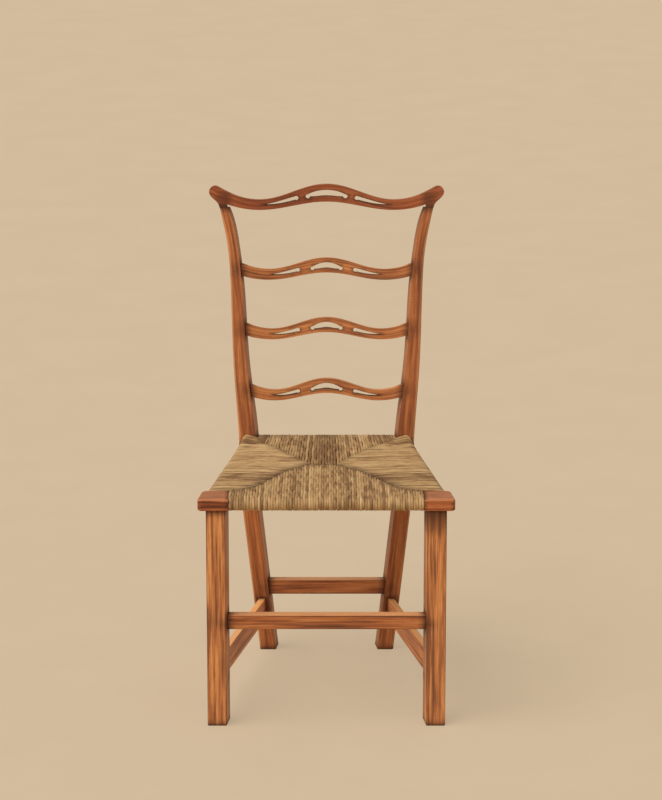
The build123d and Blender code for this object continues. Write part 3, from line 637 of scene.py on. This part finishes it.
def grain_places(points, axis, log_place):
    """Place of each point along and across the grain, which follows the middle of the piece."""
    along = points[:, axis]
    first, second = [other for other in range(3) if other != axis]
    stations = np.arange(along.min(), along.max(), SLICE)
    middles = []
    for station in stations:
        here = points[np.abs(along - station) <= SLICE]
        middles.append((here.max(axis=0) + here.min(axis=0)) / 2)
    middles = np.array(middles)
    grain = np.empty_like(points)
    grain[:, 0] = along + log_place[0]
    grain[:, 1] = points[:, first] - np.interp(along, stations, middles[:, first]) + log_place[1]
    grain[:, 2] = points[:, second] - np.interp(along, stations, middles[:, second]) + log_place[2]
    return grain


def free_edges(work, neighbours):
    """Sharp outer edges that no other piece covers."""
    found = []
    for edge in work.edges:
        if len(edge.link_faces) == 2 and edge.calc_face_angle_signed() > SHARP_EDGE:
            middle = (edge.verts[0].co + edge.verts[1].co) / 2
            if neighbours.find_nearest(middle, TOUCHING)[0] is None:
                found.append(edge)
    return found


def opening_walls(name, width):
    """The faces of a node that look at another of its own faces close by: the walls of its openings."""
    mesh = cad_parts[name].data
    own = tree_of((name,))
    walls = []
    for face in mesh.polygons:
        if own.ray_cast(face.center + face.normal * SKIN, face.normal, width)[0] is not None:
            walls.append(face.vertices[:])
    return BVHTree.FromPolygons([vertex.co.copy() for vertex in mesh.vertices], walls)


def at_outer_front(edge):
    """Whether an edge lies on the front of the chair and on its outer side."""
    facing = edge.link_faces[0].normal + edge.link_faces[1].normal
    return facing.y < -0.5 and facing.x * edge.verts[0].co.x > 0.05


def ease(work, edges, rounding, layer, paling, walls):
    """Rounds some edges: painted shade on the rims of openings, worn and painted pale where they face up,
    painted shade where they face down, as given between.
    """
    rounded = bmesh.ops.bevel(
        work, geom=edges, offset=rounding, offset_type="OFFSET", segments=3, profile=0.5,
        affect="EDGES", clamp_overlap=True,
    )
    for face in rounded["faces"]:
        face.normal_update()
        # Painted shade on the rims of openings and on downward faces, wear with a painted highlight on
        # upward faces
        if walls.find_nearest(face.calc_center_median(), rounding)[0] is not None:
            face[layer] = OPENING_RIM_SHADE
        elif abs(face.normal.z) > EDGE_FACING:
            face[layer] = math.copysign(1.0, face.normal.z)
        else:
            face[layer] = paling


def finished_wood(name, axis, rounding, arris, material, dirt_and_shade, wood, top_wear_and_highlight, seed):
    """A wooden node with its edges eased and its grain, its wear with painted highlights, and its grime
    with painted shade stored on it.
    """
    luck = random.Random(seed)
    neighbours = tree_of([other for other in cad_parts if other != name])
    work = bmesh.new()
    work.from_mesh(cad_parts[name].data)
    bmesh.ops.remove_doubles(work, verts=work.verts, dist=SAME_PLACE)
    bmesh.ops.dissolve_limit(work, angle_limit=LEVEL_FACES, verts=work.verts, edges=work.edges)
    layer = work.faces.layers.float.new("edge")
    walls = opening_walls(name, wood.opening_width)
    for face in work.faces:
        # Tops get wear with a painted highlight, the walls of openings painted shade
        face[layer] = top_wear_and_highlight if face.normal.z > TOP_FACING else 0.0
        on_wall = walls.find_nearest(face.calc_center_median(), SKIN)[0] is not None
        if on_wall and abs(face.normal.y) < 0.5:
            face[layer] = OPENING_WALL_SHADE
    # The posts' outer front edges get wear with a painted highlight
    if arris:
        outer = [edge for edge in free_edges(work, neighbours) if at_outer_front(edge)]
        ease(work, outer, arris, layer, ARRIS_WEAR_AND_HIGHLIGHT, walls)
    ease(work, free_edges(work, neighbours), rounding, layer, EDGE_POLISH, walls)
    for direction in range(3):
        slice_along(work, direction, SLICE)
    bmesh.ops.triangulate(work, faces=[face for face in work.faces if len(face.verts) > 4])
    for face in work.faces:
        face.smooth = True
    for edge in work.edges:
        edge.smooth = len(edge.link_faces) == 2 and edge.calc_face_angle() < CREASE
    mesh = bpy.data.meshes.new("finished_" + name)
    work.to_mesh(mesh)
    work.free()
    points = np.empty(len(mesh.vertices) * 3)
    mesh.vertices.foreach_get("co", points)
    points = points.reshape(-1, 3)
    log_place = (luck.uniform(0, 9), luck.uniform(0.03, 0.07), luck.uniform(0.05, 0.12))
    grain = grain_places(points, axis, log_place)
    mesh.attributes.new("grain", "FLOAT_VECTOR", "POINT").data.foreach_set("vector", grain.ravel())
    grime = np.clip(1.0 - points[:, 2] / wood.foot_stain, 0.0, 1.0)
    # Dirt and painted shade near the other pieces, painted shade near the nodes given for it, and painted
    # shade on the walls of the openings
    sources = [(tree_of(nodes) if nodes else neighbours, reach, fall, 1.0) for nodes, reach, fall in dirt_and_shade]
    sources.append((walls, wood.opening_shade_reach, 1.0, wood.opening_shade))
    for source, reach, fall, most in sources:
        for number, point in enumerate(points):
            distance = source.find_nearest(Vector(point), reach)[3]
            if distance is not None:
                grime[number] = max(grime[number], most * (1.0 - distance / reach) ** fall)
    mesh.attributes.new("grime", "FLOAT", "POINT").data.foreach_set("value", grime)
    mesh.materials.append(material)
    piece = bpy.data.objects.new("finished_" + name, mesh)
    bpy.context.scene.collection.objects.link(piece)
    piece.modifiers.new("Flat faces", "WEIGHTED_NORMAL").keep_sharp = True
    settled(piece)
    placed(piece, "frame_wood", name)


# Weaving the seat

def cord_tree():
    """Geometry nodes that sweep a cord, pressed flat by its neighbours, along every path."""
    group = bpy.data.node_groups.new("Rush cord", "GeometryNodeTree")
    face = group.interface
    face.new_socket("Paths", in_out="INPUT", socket_type="NodeSocketGeometry")
    for name in ("Cord diameter", "Squareness", "Quarter turn", "Step"):
        face.new_socket(name, in_out="INPUT", socket_type="NodeSocketFloat")
    face.new_socket("Rush", in_out="INPUT", socket_type="NodeSocketMaterial")
    face.new_socket("Cords", in_out="OUTPUT", socket_type="NodeSocketGeometry")
    tree = Tree(group)
    start = tree.nodes.new("NodeGroupInput")
    given = {socket.name: Wire(tree, socket) for socket in start.outputs}

    def stored(name):
        return tree.add("GeometryNodeInputNamedAttribute", {"data_type": "FLOAT"}, {"Name": name})

    def store(geometry, name, value):
        settings = {"data_type": "FLOAT", "domain": "POINT"}
        sockets = {"Geometry": geometry, "Name": name, "Value": value}
        return tree.add("GeometryNodeStoreNamedAttribute", settings, sockets)

    def power(operation, turn):
        part = tree.add("ShaderNodeMath", {"operation": operation}, {0: turn})
        return (part * part) ** (given["Squareness"] * 0.5)

    paths = tree.add("GeometryNodeMeshToCurve", {}, {"Mesh": given["Paths"]})
    spacing = {"Curve": paths, "Length": given["Step"]}
    paths = tree.add("GeometryNodeResampleCurve", {"mode": "LENGTH"}, spacing)
    reached = tree.add("GeometryNodeSplineParameter", {}, {}, "Length")
    paths = store(paths, "along", reached + stored("turn"))
    paths = tree.add("GeometryNodeSetCurveRadius", {}, {"Curve": paths, "Radius": stored("girth")})
    circle = {"Resolution": CORD_SIDES, "Radius": given["Cord diameter"] * 0.5}
    ring = tree.add("GeometryNodeCurvePrimitiveCircle", {}, circle)
    share = tree.add("GeometryNodeSplineParameter", {}, {}, "Factor")
    turn = share * (2 * math.pi)
    swell = (power("COSINE", turn) + power("SINE", turn)) ** (-1.0 / given["Squareness"])
    spot = tree.add("GeometryNodeInputPosition")
    spot = tree.add("ShaderNodeVectorMath", {"operation": "SCALE"}, {0: spot, "Scale": swell})
    ring = tree.add("GeometryNodeSetPosition", {}, {"Geometry": ring, "Position": spot})
    ring = store(ring, "around", share + given["Quarter turn"])
    sweep = {"Curve": paths, "Profile Curve": ring, "Fill Caps": True}
    cords = tree.add("GeometryNodeCurveToMesh", {}, sweep)
    cords = tree.add("GeometryNodeSetShadeSmooth", {}, {"Geometry": cords})
    cords = tree.add("GeometryNodeRealizeInstances", {}, {"Geometry": cords})
    cords = tree.add("GeometryNodeSetMaterial", {}, {"Geometry": cords, "Material": given["Rush"]})
    tree.add("NodeGroupOutput", {}, {"Cords": cords})
    return group


class Weave:
    """Lays out the paths of the cords over, round and under the seat rails."""

    def __init__(self, rush):
        self.rush = rush
        self.luck = random.Random(rush.seed)
        self.panels = {name: tree_of((name,)) for name in RUSH_PANELS}
        self.bridges = {-1: rush.bridge_left, 1: rush.bridge_right}
        self.bows = {-1: rush.rear_bow_left, 1: rush.rear_bow_right}

    def height(self, panel, place, up):
        """Height of a panel at a place, on its top (up 1) or its underside (up -1), if it reaches there."""
        start = Vector((place.x, place.y, RAIL_LEVEL + 0.2 * up))
        hit = self.panels[panel].ray_cast(start, Vector((0.0, 0.0, -up)))[0]
        return None if hit is None else hit.z

    def height_near(self, panel, place, step):
        """Top of a panel at the first place, going on by a step, where there is any of it."""
        for number in range(40):
            found = self.height(panel, place + step * number, 1)
            if found is not None:
                return found
        raise RuntimeError(f"no {panel} near {place.x:.4f}, {place.y:.4f}")

    def front_seam(self, x):
        """How far back the front panel reaches at x."""
        bridge = self.bridges[1 if x > 0 else -1]
        if abs(x) <= bridge:
            return SEAM_CENTRE
        share = min(1.0, max(0.0, (BLOCK_CORNER.x - abs(x)) / (BLOCK_CORNER.x - bridge)))
        bend = min(1.0, share / self.rush.front_seam_bend)
        return BLOCK_CORNER.y + (SEAM_CENTRE - BLOCK_CORNER.y) * share * bend * bend * (3 - 2 * bend)

    def rear_seam(self, x):
        """How far forward the rear panel reaches at x."""
        side = 1 if x > 0 else -1
        bridge = self.bridges[side]
        if abs(x) <= bridge:
            return SEAM_CENTRE
        share = min(1.0, max(0.0, (POST_CORNER.x - abs(x)) / (POST_CORNER.x - bridge)))
        straight = POST_CORNER.y + (SEAM_CENTRE - POST_CORNER.y) * share
        return straight + self.bows[side] * 4 * share * (1 - share)

    def shares(self, width):
        """Middles and girths of the cords across a width, wound by hand and so a little uneven."""
        count = round(width / self.rush.cord_spacing)
        rooms = []
        for _ in range(count):
            room = 1.0 + self.luck.uniform(-ROOM_SPREAD, ROOM_SPREAD)
            if self.luck.random() < THICK_CHANCE:
                room += THICK_ROOM
            rooms.append(room)
        total = sum(rooms)
        reached = 0.0
        cords = []
        for room in rooms:
            middle = (reached + room / 2) / total
            reached += room
            cords.append((middle, min(room, WIDEST_GIRTH) * count / total))
        return cords

    def wound(self, panel, anchor, inward, length, level, lift, overlap, dirt_and_shade):
        """One cord: up from the seam below, under the rail, round its nose and over to the seam above."""
        radius = CORD / 2
        dive = self.rush.dive_radius
        reach = length + overlap
        sway = (self.luck.uniform(0, 6.28), self.luck.uniform(0, 6.28), self.luck.uniform(*WAVE_RANGE))
        bed = self.luck.uniform(*BED_RANGE)
        path = []

        def spot(distance, z, sunk):
            drift = CORD_WANDER * math.sin(distance * sway[2] + sway[0])
            place = anchor + inward * distance + Vector((-inward.y, inward.x)) * drift
            return (Vector((place.x, place.y, z)), sunk)

        def run(up):
            steps = max(2, math.ceil((reach - dive - NOSE) / PATH_STEP))
            spots = []
            base = level + (NOSE - NOSE_SINK) * up
            for number in range(steps + 1):
                distance = NOSE + (reach - dive - NOSE) * number / steps
                found = self.height(panel, anchor + inward * distance, up)
                if found is not None:
                    base = found
                z = base - radius * up + bed
                if up > 0:
                    z += lift(distance) + CORD_WAVE * math.sin(distance * sway[2] * 0.7 + sway[1])
                # Painted seam shade begins a short way before the seam and grows to full along the dive
                from_seam = (reach - dive - distance) / SEAM_SHADE_REACH
                spots.append(spot(distance, z, max(0.0, dirt_and_shade - from_seam)))
            for turn in DIVE_TURNS:
                angle = math.radians(turn)
                depth = dive * (1 - math.cos(angle))
                sunk = dirt_and_shade + (1.0 - dirt_and_shade) * turn / 90
                spots.append(spot(reach - dive + dive * math.sin(angle), z - up * depth, sunk))
            spots.append(spot(reach, z - up * (dive + DIVE_TAIL), 1.0))
            return spots

        path.extend(reversed(run(-1)))
        for turn in range(255, 90, -15):
            angle = math.radians(turn)
            distance = NOSE + (NOSE - radius) * math.cos(angle)
            share = (1 + math.sin(angle)) / 2
            z = level + (NOSE - radius) * math.sin(angle) + bed + lift(NOSE) * share
            path.append(spot(distance, z, 0.0))
        path.extend(run(1))
        return path

    def cross_panel(self, panel, nose, half_width, level, forward):
        """Cords of the front panel (forward 1) or of the rear panel (forward -1)."""
        cords = []
        for middle, girth in self.shares(half_width * 2):
            across = (middle * 2 - 1) * half_width
            seam = self.front_seam if forward > 0 else self.rear_seam
            fan = -self.rush.front_fan if forward > 0 else self.rush.rear_fan
            slope = fan * across / half_width
            distance = SHORTEST_CORD
            while (seam(across + slope * distance) - nose) * forward > distance:
                distance += SEAM_STEP
            inward = Vector((slope, forward)).normalized()
            length = distance / abs(inward.y)
            in_seam = abs(across) > self.bridges[1 if across > 0 else -1]
            staggered = forward > 0 and in_seam and len(cords) % 2
            overlap = FRONT_STAGGER if staggered else SEAM_OVERLAP
            anchor = Vector((across, nose))
            # How strongly painted shade darkens this panel's seam
            dirt_and_shade = FRONT_SEAM_SHADE if forward > 0 else REAR_SEAM_SHADE
            path = self.wound(panel, anchor, inward, length, level, lambda reached: 0.0, overlap, dirt_and_shade)
            cords.append((path, girth))
        return cords

    def side_panel(self, panel, side):
        """Cords of the left panel (side -1) or of the right panel (side 1)."""
        cords = []
        first = BLOCK_CORNER.y + EDGE_CLEARANCE
        last = POST_CORNER.y - EDGE_CLEARANCE
        for middle, girth in self.shares(last - first):
            y = first + (last - first) * middle
            start = Vector((side * 0.5, y, RAIL_LEVEL))
            nose = self.panels[panel].ray_cast(start, Vector((-side, 0.0, 0.0)))[0]
            front_share = min(1.0, 0.15 + middle * 4.0)
            rear_share = min(1.0, 0.35 + (1 - middle) * 5.0)
            slope = self.rush.side_slope * front_share * rear_share
            inward = Vector((-side, -slope)).normalized()
            corner = max(0.0, 1.0 - (last - y) / CORNER_REACH) ** 2 * self.rush.corner_rise
            anchor = Vector((nose.x - side * corner * CORNER_DRAW, y))
            length = SHORTEST_CORD
            while True:
                place = anchor + inward * length
                x = abs(place.x)
                if x < self.bridges[side]:
                    break
                if x < BLOCK_CORNER.x and place.y < self.front_seam(place.x):
                    break
                if x < POST_CORNER.x and place.y > self.rear_seam(place.x):
                    break
                length += SEAM_STEP
            end = anchor + inward * length
            rear = end.y > SEAM_CENTRE
            rise = 0.0
            if rear:
                own = self.height_near(panel, end, inward * -0.001)
                rise = max(0.0, self.height_near("rush_rear", end, Vector((0.0, 0.001))) - own)

            def lift(reached, length=length, rise=rise, corner=corner):
                share = min(1.0, max(0.0, (reached - NOSE) / (length - NOSE)))
                fall = min(1.0, max(0.0, reached - HUMP_RISE) / HUMP_FALL)
                hump = min(1.0, reached / HUMP_RISE) - HUMP_DROP * fall
                return max(rise * share * share * (3 - 2 * share), corner * hump)

            overlap = SIDE_REAR_OVERLAP if rear else SIDE_STAGGER[len(cords) % 2]
            # How strongly painted shade darkens this cord's end at its seam
            dirt_and_shade = SIDE_REAR_SEAM_SHADE if rear else SIDE_FRONT_SEAM_SHADE
            path = self.wound(panel, anchor, inward, length, RAIL_LEVEL, lift, overlap, dirt_and_shade)
            cords.append((path, girth))
        return cords


def woven_panel(name, cords, group, material, rush, shade, quarter):
    """One panel of the seat as a mesh of cords; quarter tells where on a cord its neighbours touch it."""
    luck = random.Random(rush.seed + len(cords))
    points = []
    edges = []
    values = {"tone": [], "turn": [], "row": [], "girth": [], "sunk": []}
    drift = 0.5
    row = luck.uniform(0, 500)
    for path, girth in cords:
        row += 1
        drift = 0.5 + (drift - 0.5) * TONE_MEMORY + luck.uniform(-TONE_DRIFT, TONE_DRIFT)
        # The panel's shade value paints all its cords lighter or darker for how the light falls on it
        tone = drift + luck.uniform(-TONE_SPREAD, TONE_SPREAD) + shade
        if luck.random() < BROWN_CHANCE:
            tone -= BROWN_SHIFT
        tone = min(1.0, max(0.0, tone))
        turn = luck.random()
        for number, (place, sunk) in enumerate(path):
            if number:
                edges.append((len(points) - 1, len(points)))
            points.append(place)
            values["tone"].append(tone)
            values["turn"].append(turn)
            values["row"].append(row)
            values["girth"].append(girth)
            values["sunk"].append(sunk)
    mesh = bpy.data.meshes.new("woven_" + name)
    mesh.from_pydata(points, edges, [])
    for key, numbers in values.items():
        mesh.attributes.new(key, "FLOAT", "POINT").data.foreach_set("value", numbers)
    piece = bpy.data.objects.new("woven_" + name, mesh)
    bpy.context.scene.collection.objects.link(piece)
    winding = piece.modifiers.new("Twisted cords", "NODES")
    winding.node_group = group
    inputs = {
        "Cord diameter": rush.cord_spacing * CORD_FULLNESS,
        "Squareness": rush.squareness,
        "Quarter turn": quarter,
        "Step": rush.step,
        "Rush": material,
    }
    for socket in group.interface.items_tree:
        if socket.in_out == "INPUT" and socket.name in inputs:
            winding[socket.identifier] = inputs[socket.name]
    settled(piece)
    placed(piece, "rush", name)


# Operators, one for each group of like pieces

class ChairOperator:
    """What every operator of the chair shares."""

    bl_options = {"REGISTER", "UNDO"}

    def wood_pieces(
        self, wood, names, axis, rounding, finish, colour,
        figure=1.0, arris=None, reach=None, painted_shades=None, top_wear_and_highlight=0.7, worn_and_lit_tint=(1.5, 2.2, 3.0),
    ):
        """Finishes like pieces of wood; the painted shade spots give nodes, how far painted shade spreads
        from them and its fall.
        """
        material = wood_finish(finish, colour, wood, figure, worn_and_lit_tint)
        for name in names:
            dirt_and_shade = [(None, reach or wood.grime_and_shade_reach, 1.5)]
            if painted_shades:
                dirt_and_shade.append(painted_shades[name])
            seed = f"{finish} {name}"
            finished_wood(name, axis, rounding, arris, material, dirt_and_shade, wood, top_wear_and_highlight, seed)


class SIDECHAIR_OT_rear_posts(ChairOperator, bpy.types.Operator):
    """Finish the two bent rear posts"""

    bl_idname = "side_chair.rear_posts"
    bl_label = "Rear posts"

    def execute(self, context):
        wood = context.scene.side_chair.wood
        names = ("rear_post_left", "rear_post_right")
        self.wood_pieces(
            wood, names, 2, wood.post_round, "post_wood", wood.post_colour,
            figure=0.75, arris=wood.post_arris,
        )
        return {"FINISHED"}


class SIDECHAIR_OT_crest_rail(ChairOperator, bpy.types.Operator):
    """Finish the pierced crest rail"""

    bl_idname = "side_chair.crest_rail"
    bl_label = "Crest rail"

    def execute(self, context):
        wood = context.scene.side_chair.wood
        # Painted shade on the crest above the rear posts
        painted_shades = {"crest_rail": (["rear_post_left", "rear_post_right"], wood.crest_shade, 0.7)}
        self.wood_pieces(
            wood, painted_shades, 0, wood.rail_round, "crest_wood", wood.crest_colour, figure=0.7, painted_shades=painted_shades
        )
        return {"FINISHED"}


class SIDECHAIR_OT_slats(ChairOperator, bpy.types.Operator):
    """Finish the three pierced back slats"""

    bl_idname = "side_chair.slats"
    bl_label = "Back slats"

    def execute(self, context):
        wood = context.scene.side_chair.wood
        names = ("slat_upper", "slat_middle", "slat_lower")
        self.wood_pieces(wood, names, 0, wood.rail_round, "slat_wood", wood.slat_colour, figure=0.8)
        return {"FINISHED"}


class SIDECHAIR_OT_front_legs(ChairOperator, bpy.types.Operator):
    """Finish the two square front legs"""

    bl_idname = "side_chair.front_legs"
    bl_label = "Front legs"

    def execute(self, context):
        wood = context.scene.side_chair.wood
        # Painted shade on the legs under the corner blocks
        painted_shades = {
            "front_leg_left": (["corner_block_left"], wood.left_leg_shade, 1.0),
            "front_leg_right": (["corner_block_right"], wood.right_leg_shade, 0.6),
        }
        self.wood_pieces(
            wood, painted_shades, 2, wood.leg_round, "leg_wood", wood.leg_colour, figure=1.2, painted_shades=painted_shades
        )
        return {"FINISHED"}


class SIDECHAIR_OT_corner_blocks(ChairOperator, bpy.types.Operator):
    """Finish the blocks at the seat's front corners"""

    bl_idname = "side_chair.corner_blocks"
    bl_label = "Corner blocks"

    def execute(self, context):
        wood = context.scene.side_chair.wood
        names = ("corner_block_left", "corner_block_right")
        self.wood_pieces(
            wood, names, 0, wood.block_round, "block_wood", wood.block_colour,
            figure=1.4, reach=wood.block_grime_and_shade_reach,
        )
        return {"FINISHED"}


class SIDECHAIR_OT_stretchers(ChairOperator, bpy.types.Operator):
    """Finish the four stretchers"""

    bl_idname = "side_chair.stretchers"
    bl_label = "Stretchers"

    def execute(self, context):
        wood = context.scene.side_chair.wood
        # The stretchers' tops get wear with a strong painted highlight that lightens them in the seat's
        # shadow
        across = ("stretcher_front", "stretcher_rear")
        self.wood_pieces(
            wood, across, 0, wood.rail_round, "stretcher_wood", wood.stretcher_colour,
            top_wear_and_highlight=1.3, worn_and_lit_tint=(2.1, 3.0, 3.8),
        )
        lengthwise = ("stretcher_left", "stretcher_right")
        self.wood_pieces(
            wood, lengthwise, 1, wood.rail_round, "side_stretcher_wood", wood.side_stretcher_colour,
            top_wear_and_highlight=1.3, worn_and_lit_tint=(1.8, 2.8, 3.6),
        )
        return {"FINISHED"}


class SIDECHAIR_OT_seat_rails(ChairOperator, bpy.types.Operator):
    """Finish the bare rails that the rush is wound on"""

    bl_idname = "side_chair.seat_rails"
    bl_label = "Seat rails"

    def execute(self, context):
        wood = context.scene.side_chair.wood
        across = bare_wood_finish("seat_rail_wood_across", wood.rail_colour, wood, True)
        lengthwise = bare_wood_finish("seat_rail_wood_lengthwise", wood.rail_colour, wood, False)
        for name in ("seat_rail_front", "seat_rail_rear"):
            dressed(name, across)
        for name in ("seat_rail_left", "seat_rail_right"):
            dressed(name, lengthwise)
        return {"FINISHED"}


class SIDECHAIR_OT_pegs(ChairOperator, bpy.types.Operator):
    """Finish the pegs that hold the tenons"""

    bl_idname = "side_chair.pegs"
    bl_label = "Pegs"

    def execute(self, context):
        material = peg_finish("peg_end_grain", context.scene.side_chair.wood)
        for name in PEGS:
            dressed(name, material)
        return {"FINISHED"}


class SIDECHAIR_OT_packing(ChairOperator, bpy.types.Operator):
    """Finish the stuffing between the two layers of rush"""

    bl_idname = "side_chair.packing"
    bl_label = "Rush packing"

    def execute(self, context):
        material = packing_finish("rush_stuffing", context.scene.side_chair.rush)
        for name in PACKINGS:
            dressed(name, material)
        return {"FINISHED"}


class SIDECHAIR_OT_rush_seat(ChairOperator, bpy.types.Operator):
    """Weave the four panels of the rush seat"""

    bl_idname = "side_chair.rush_seat"
    bl_label = "Rush seat"

    def execute(self, context):
        rush = context.scene.side_chair.rush
        group = cord_tree()
        material = rush_finish("twisted_rush", rush)
        weave = Weave(rush)
        front_half = FRONT_HIGH.x - EDGE_CLEARANCE
        rear_half = POST_CORNER.x - REAR_INSET
        front = weave.cross_panel("rush_front", FRONT_LOW.y, front_half, RAIL_LEVEL, 1)
        rear = weave.cross_panel("rush_rear", REAR_HIGH.y, rear_half, REAR_RAIL_LEVEL, -1)
        woven_panel("rush_front", front, group, material, rush, FRONT_SHADE, 0.0)
        woven_panel("rush_rear", rear, group, material, rush, REAR_SHADE, 0.0)
        for side_name, side in SIDES.items():
            name = "rush_" + side_name
            cords = weave.side_panel(name, side)
            woven_panel(name, cords, group, material, rush, SIDE_SHADE, 0.25)
        return {"FINISHED"}


class SIDECHAIR_OT_stage(ChairOperator, bpy.types.Operator):
    """Set the pale floor, the studio light and the camera"""

    bl_idname = "side_chair.stage"
    bl_label = "Stage"

    def execute(self, context):
        stage = context.scene.side_chair.stage
        self.lay_floor(context, stage)
        self.light_sky(context, stage)
        self.hang_sun(context, stage)
        lens = bpy.data.cameras.new("Camera")
        lens.lens = stage.lens
        lens.sensor_width = FILM_WIDTH
        camera = bpy.data.objects.new("Camera", lens)
        camera.location = stage.camera_place
        camera.rotation_euler = (math.radians(90) - stage.camera_pitch, 0.0, 0.0)
        context.scene.collection.objects.link(camera)
        context.scene.camera = camera
        context.scene.view_settings.view_transform = "Standard"
        return {"FINISHED"}

    def lay_floor(self, context, stage):
        half = stage.floor_size / 2
        corners = [(-half, -half, 0), (half, -half, 0), (half, half, 0), (-half, half, 0)]
        mesh = bpy.data.meshes.new("floor")
        mesh.from_pydata(corners, [], [(0, 1, 2, 3)])
        mesh.materials.append(floor_finish("pale_floor", stage))
        floor = bpy.data.objects.new("floor", mesh)
        context.scene.collection.objects.link(floor)

    def light_sky(self, context, stage):
        world = bpy.data.worlds.new("Studio")
        world.use_nodes = True
        context.scene.world = world
        tree = Tree(world.node_tree)
        glow = {"Color": opaque(SKY_TINT), "Strength": stage.sky}
        light = tree.add("ShaderNodeBackground", {}, glow)
        backdrop = {"Color": opaque(stage.floor_colour), "Strength": PAPER_BRIGHTNESS}
        paper = tree.add("ShaderNodeBackground", {}, backdrop)
        sky = tree.add("ShaderNodeMixShader", {}, {0: tree.seen(), 1: light, 2: paper})
        tree.add("ShaderNodeOutputWorld", {}, {"Surface": sky})

    def hang_sun(self, context, stage):
        lamp = bpy.data.lights.new("Key light", "SUN")
        lamp.energy = stage.key_power
        lamp.color = SUN_TINT
        lamp.angle = SUN_WIDTH
        light = bpy.data.objects.new("Key light", lamp)
        light.location = SUN_PLACE
        towards = Vector(SUN_AIM) - Vector(SUN_PLACE)
        light.rotation_euler = towards.to_track_quat("-Z", "Y").to_euler()
        context.scene.collection.objects.link(light)


class SIDECHAIR_PT_panel(bpy.types.Panel):
    """The chair's tab in the sidebar"""

    bl_idname = "SIDECHAIR_PT_panel"
    bl_label = "Side chair"
    bl_space_type = "VIEW_3D"
    bl_region_type = "UI"
    bl_category = "Side chair"

    def draw(self, context):
        for operator in OPERATORS:
            self.layout.operator(operator.bl_idname)
        for group in ("wood", "rush", "stage"):
            settings = getattr(context.scene.side_chair, group)
            box = self.layout.box()
            for name in settings.__annotations__:
                box.prop(settings, name)


OPERATORS = (
    SIDECHAIR_OT_rear_posts,
    SIDECHAIR_OT_crest_rail,
    SIDECHAIR_OT_slats,
    SIDECHAIR_OT_front_legs,
    SIDECHAIR_OT_corner_blocks,
    SIDECHAIR_OT_stretchers,
    SIDECHAIR_OT_seat_rails,
    SIDECHAIR_OT_pegs,
    SIDECHAIR_OT_packing,
    SIDECHAIR_OT_rush_seat,
    SIDECHAIR_OT_stage,
)
SETTINGS = (ChairWoodSettings, ChairRushSettings, ChairStageSettings, ChairSettings)


def register():
    for kind in SETTINGS + OPERATORS + (SIDECHAIR_PT_panel,):
        bpy.utils.register_class(kind)
    bpy.types.Scene.side_chair = bpy.props.PointerProperty(type=ChairSettings)


def unregister():
    del bpy.types.Scene.side_chair
    for kind in reversed(SETTINGS + OPERATORS + (SIDECHAIR_PT_panel,)):
        bpy.utils.unregister_class(kind)


def main():
    register()
    for operator in OPERATORS:
        group, name = operator.bl_idname.split(".")
        getattr(getattr(bpy.ops, group), name)()


if __name__ == "__main__":
    main()
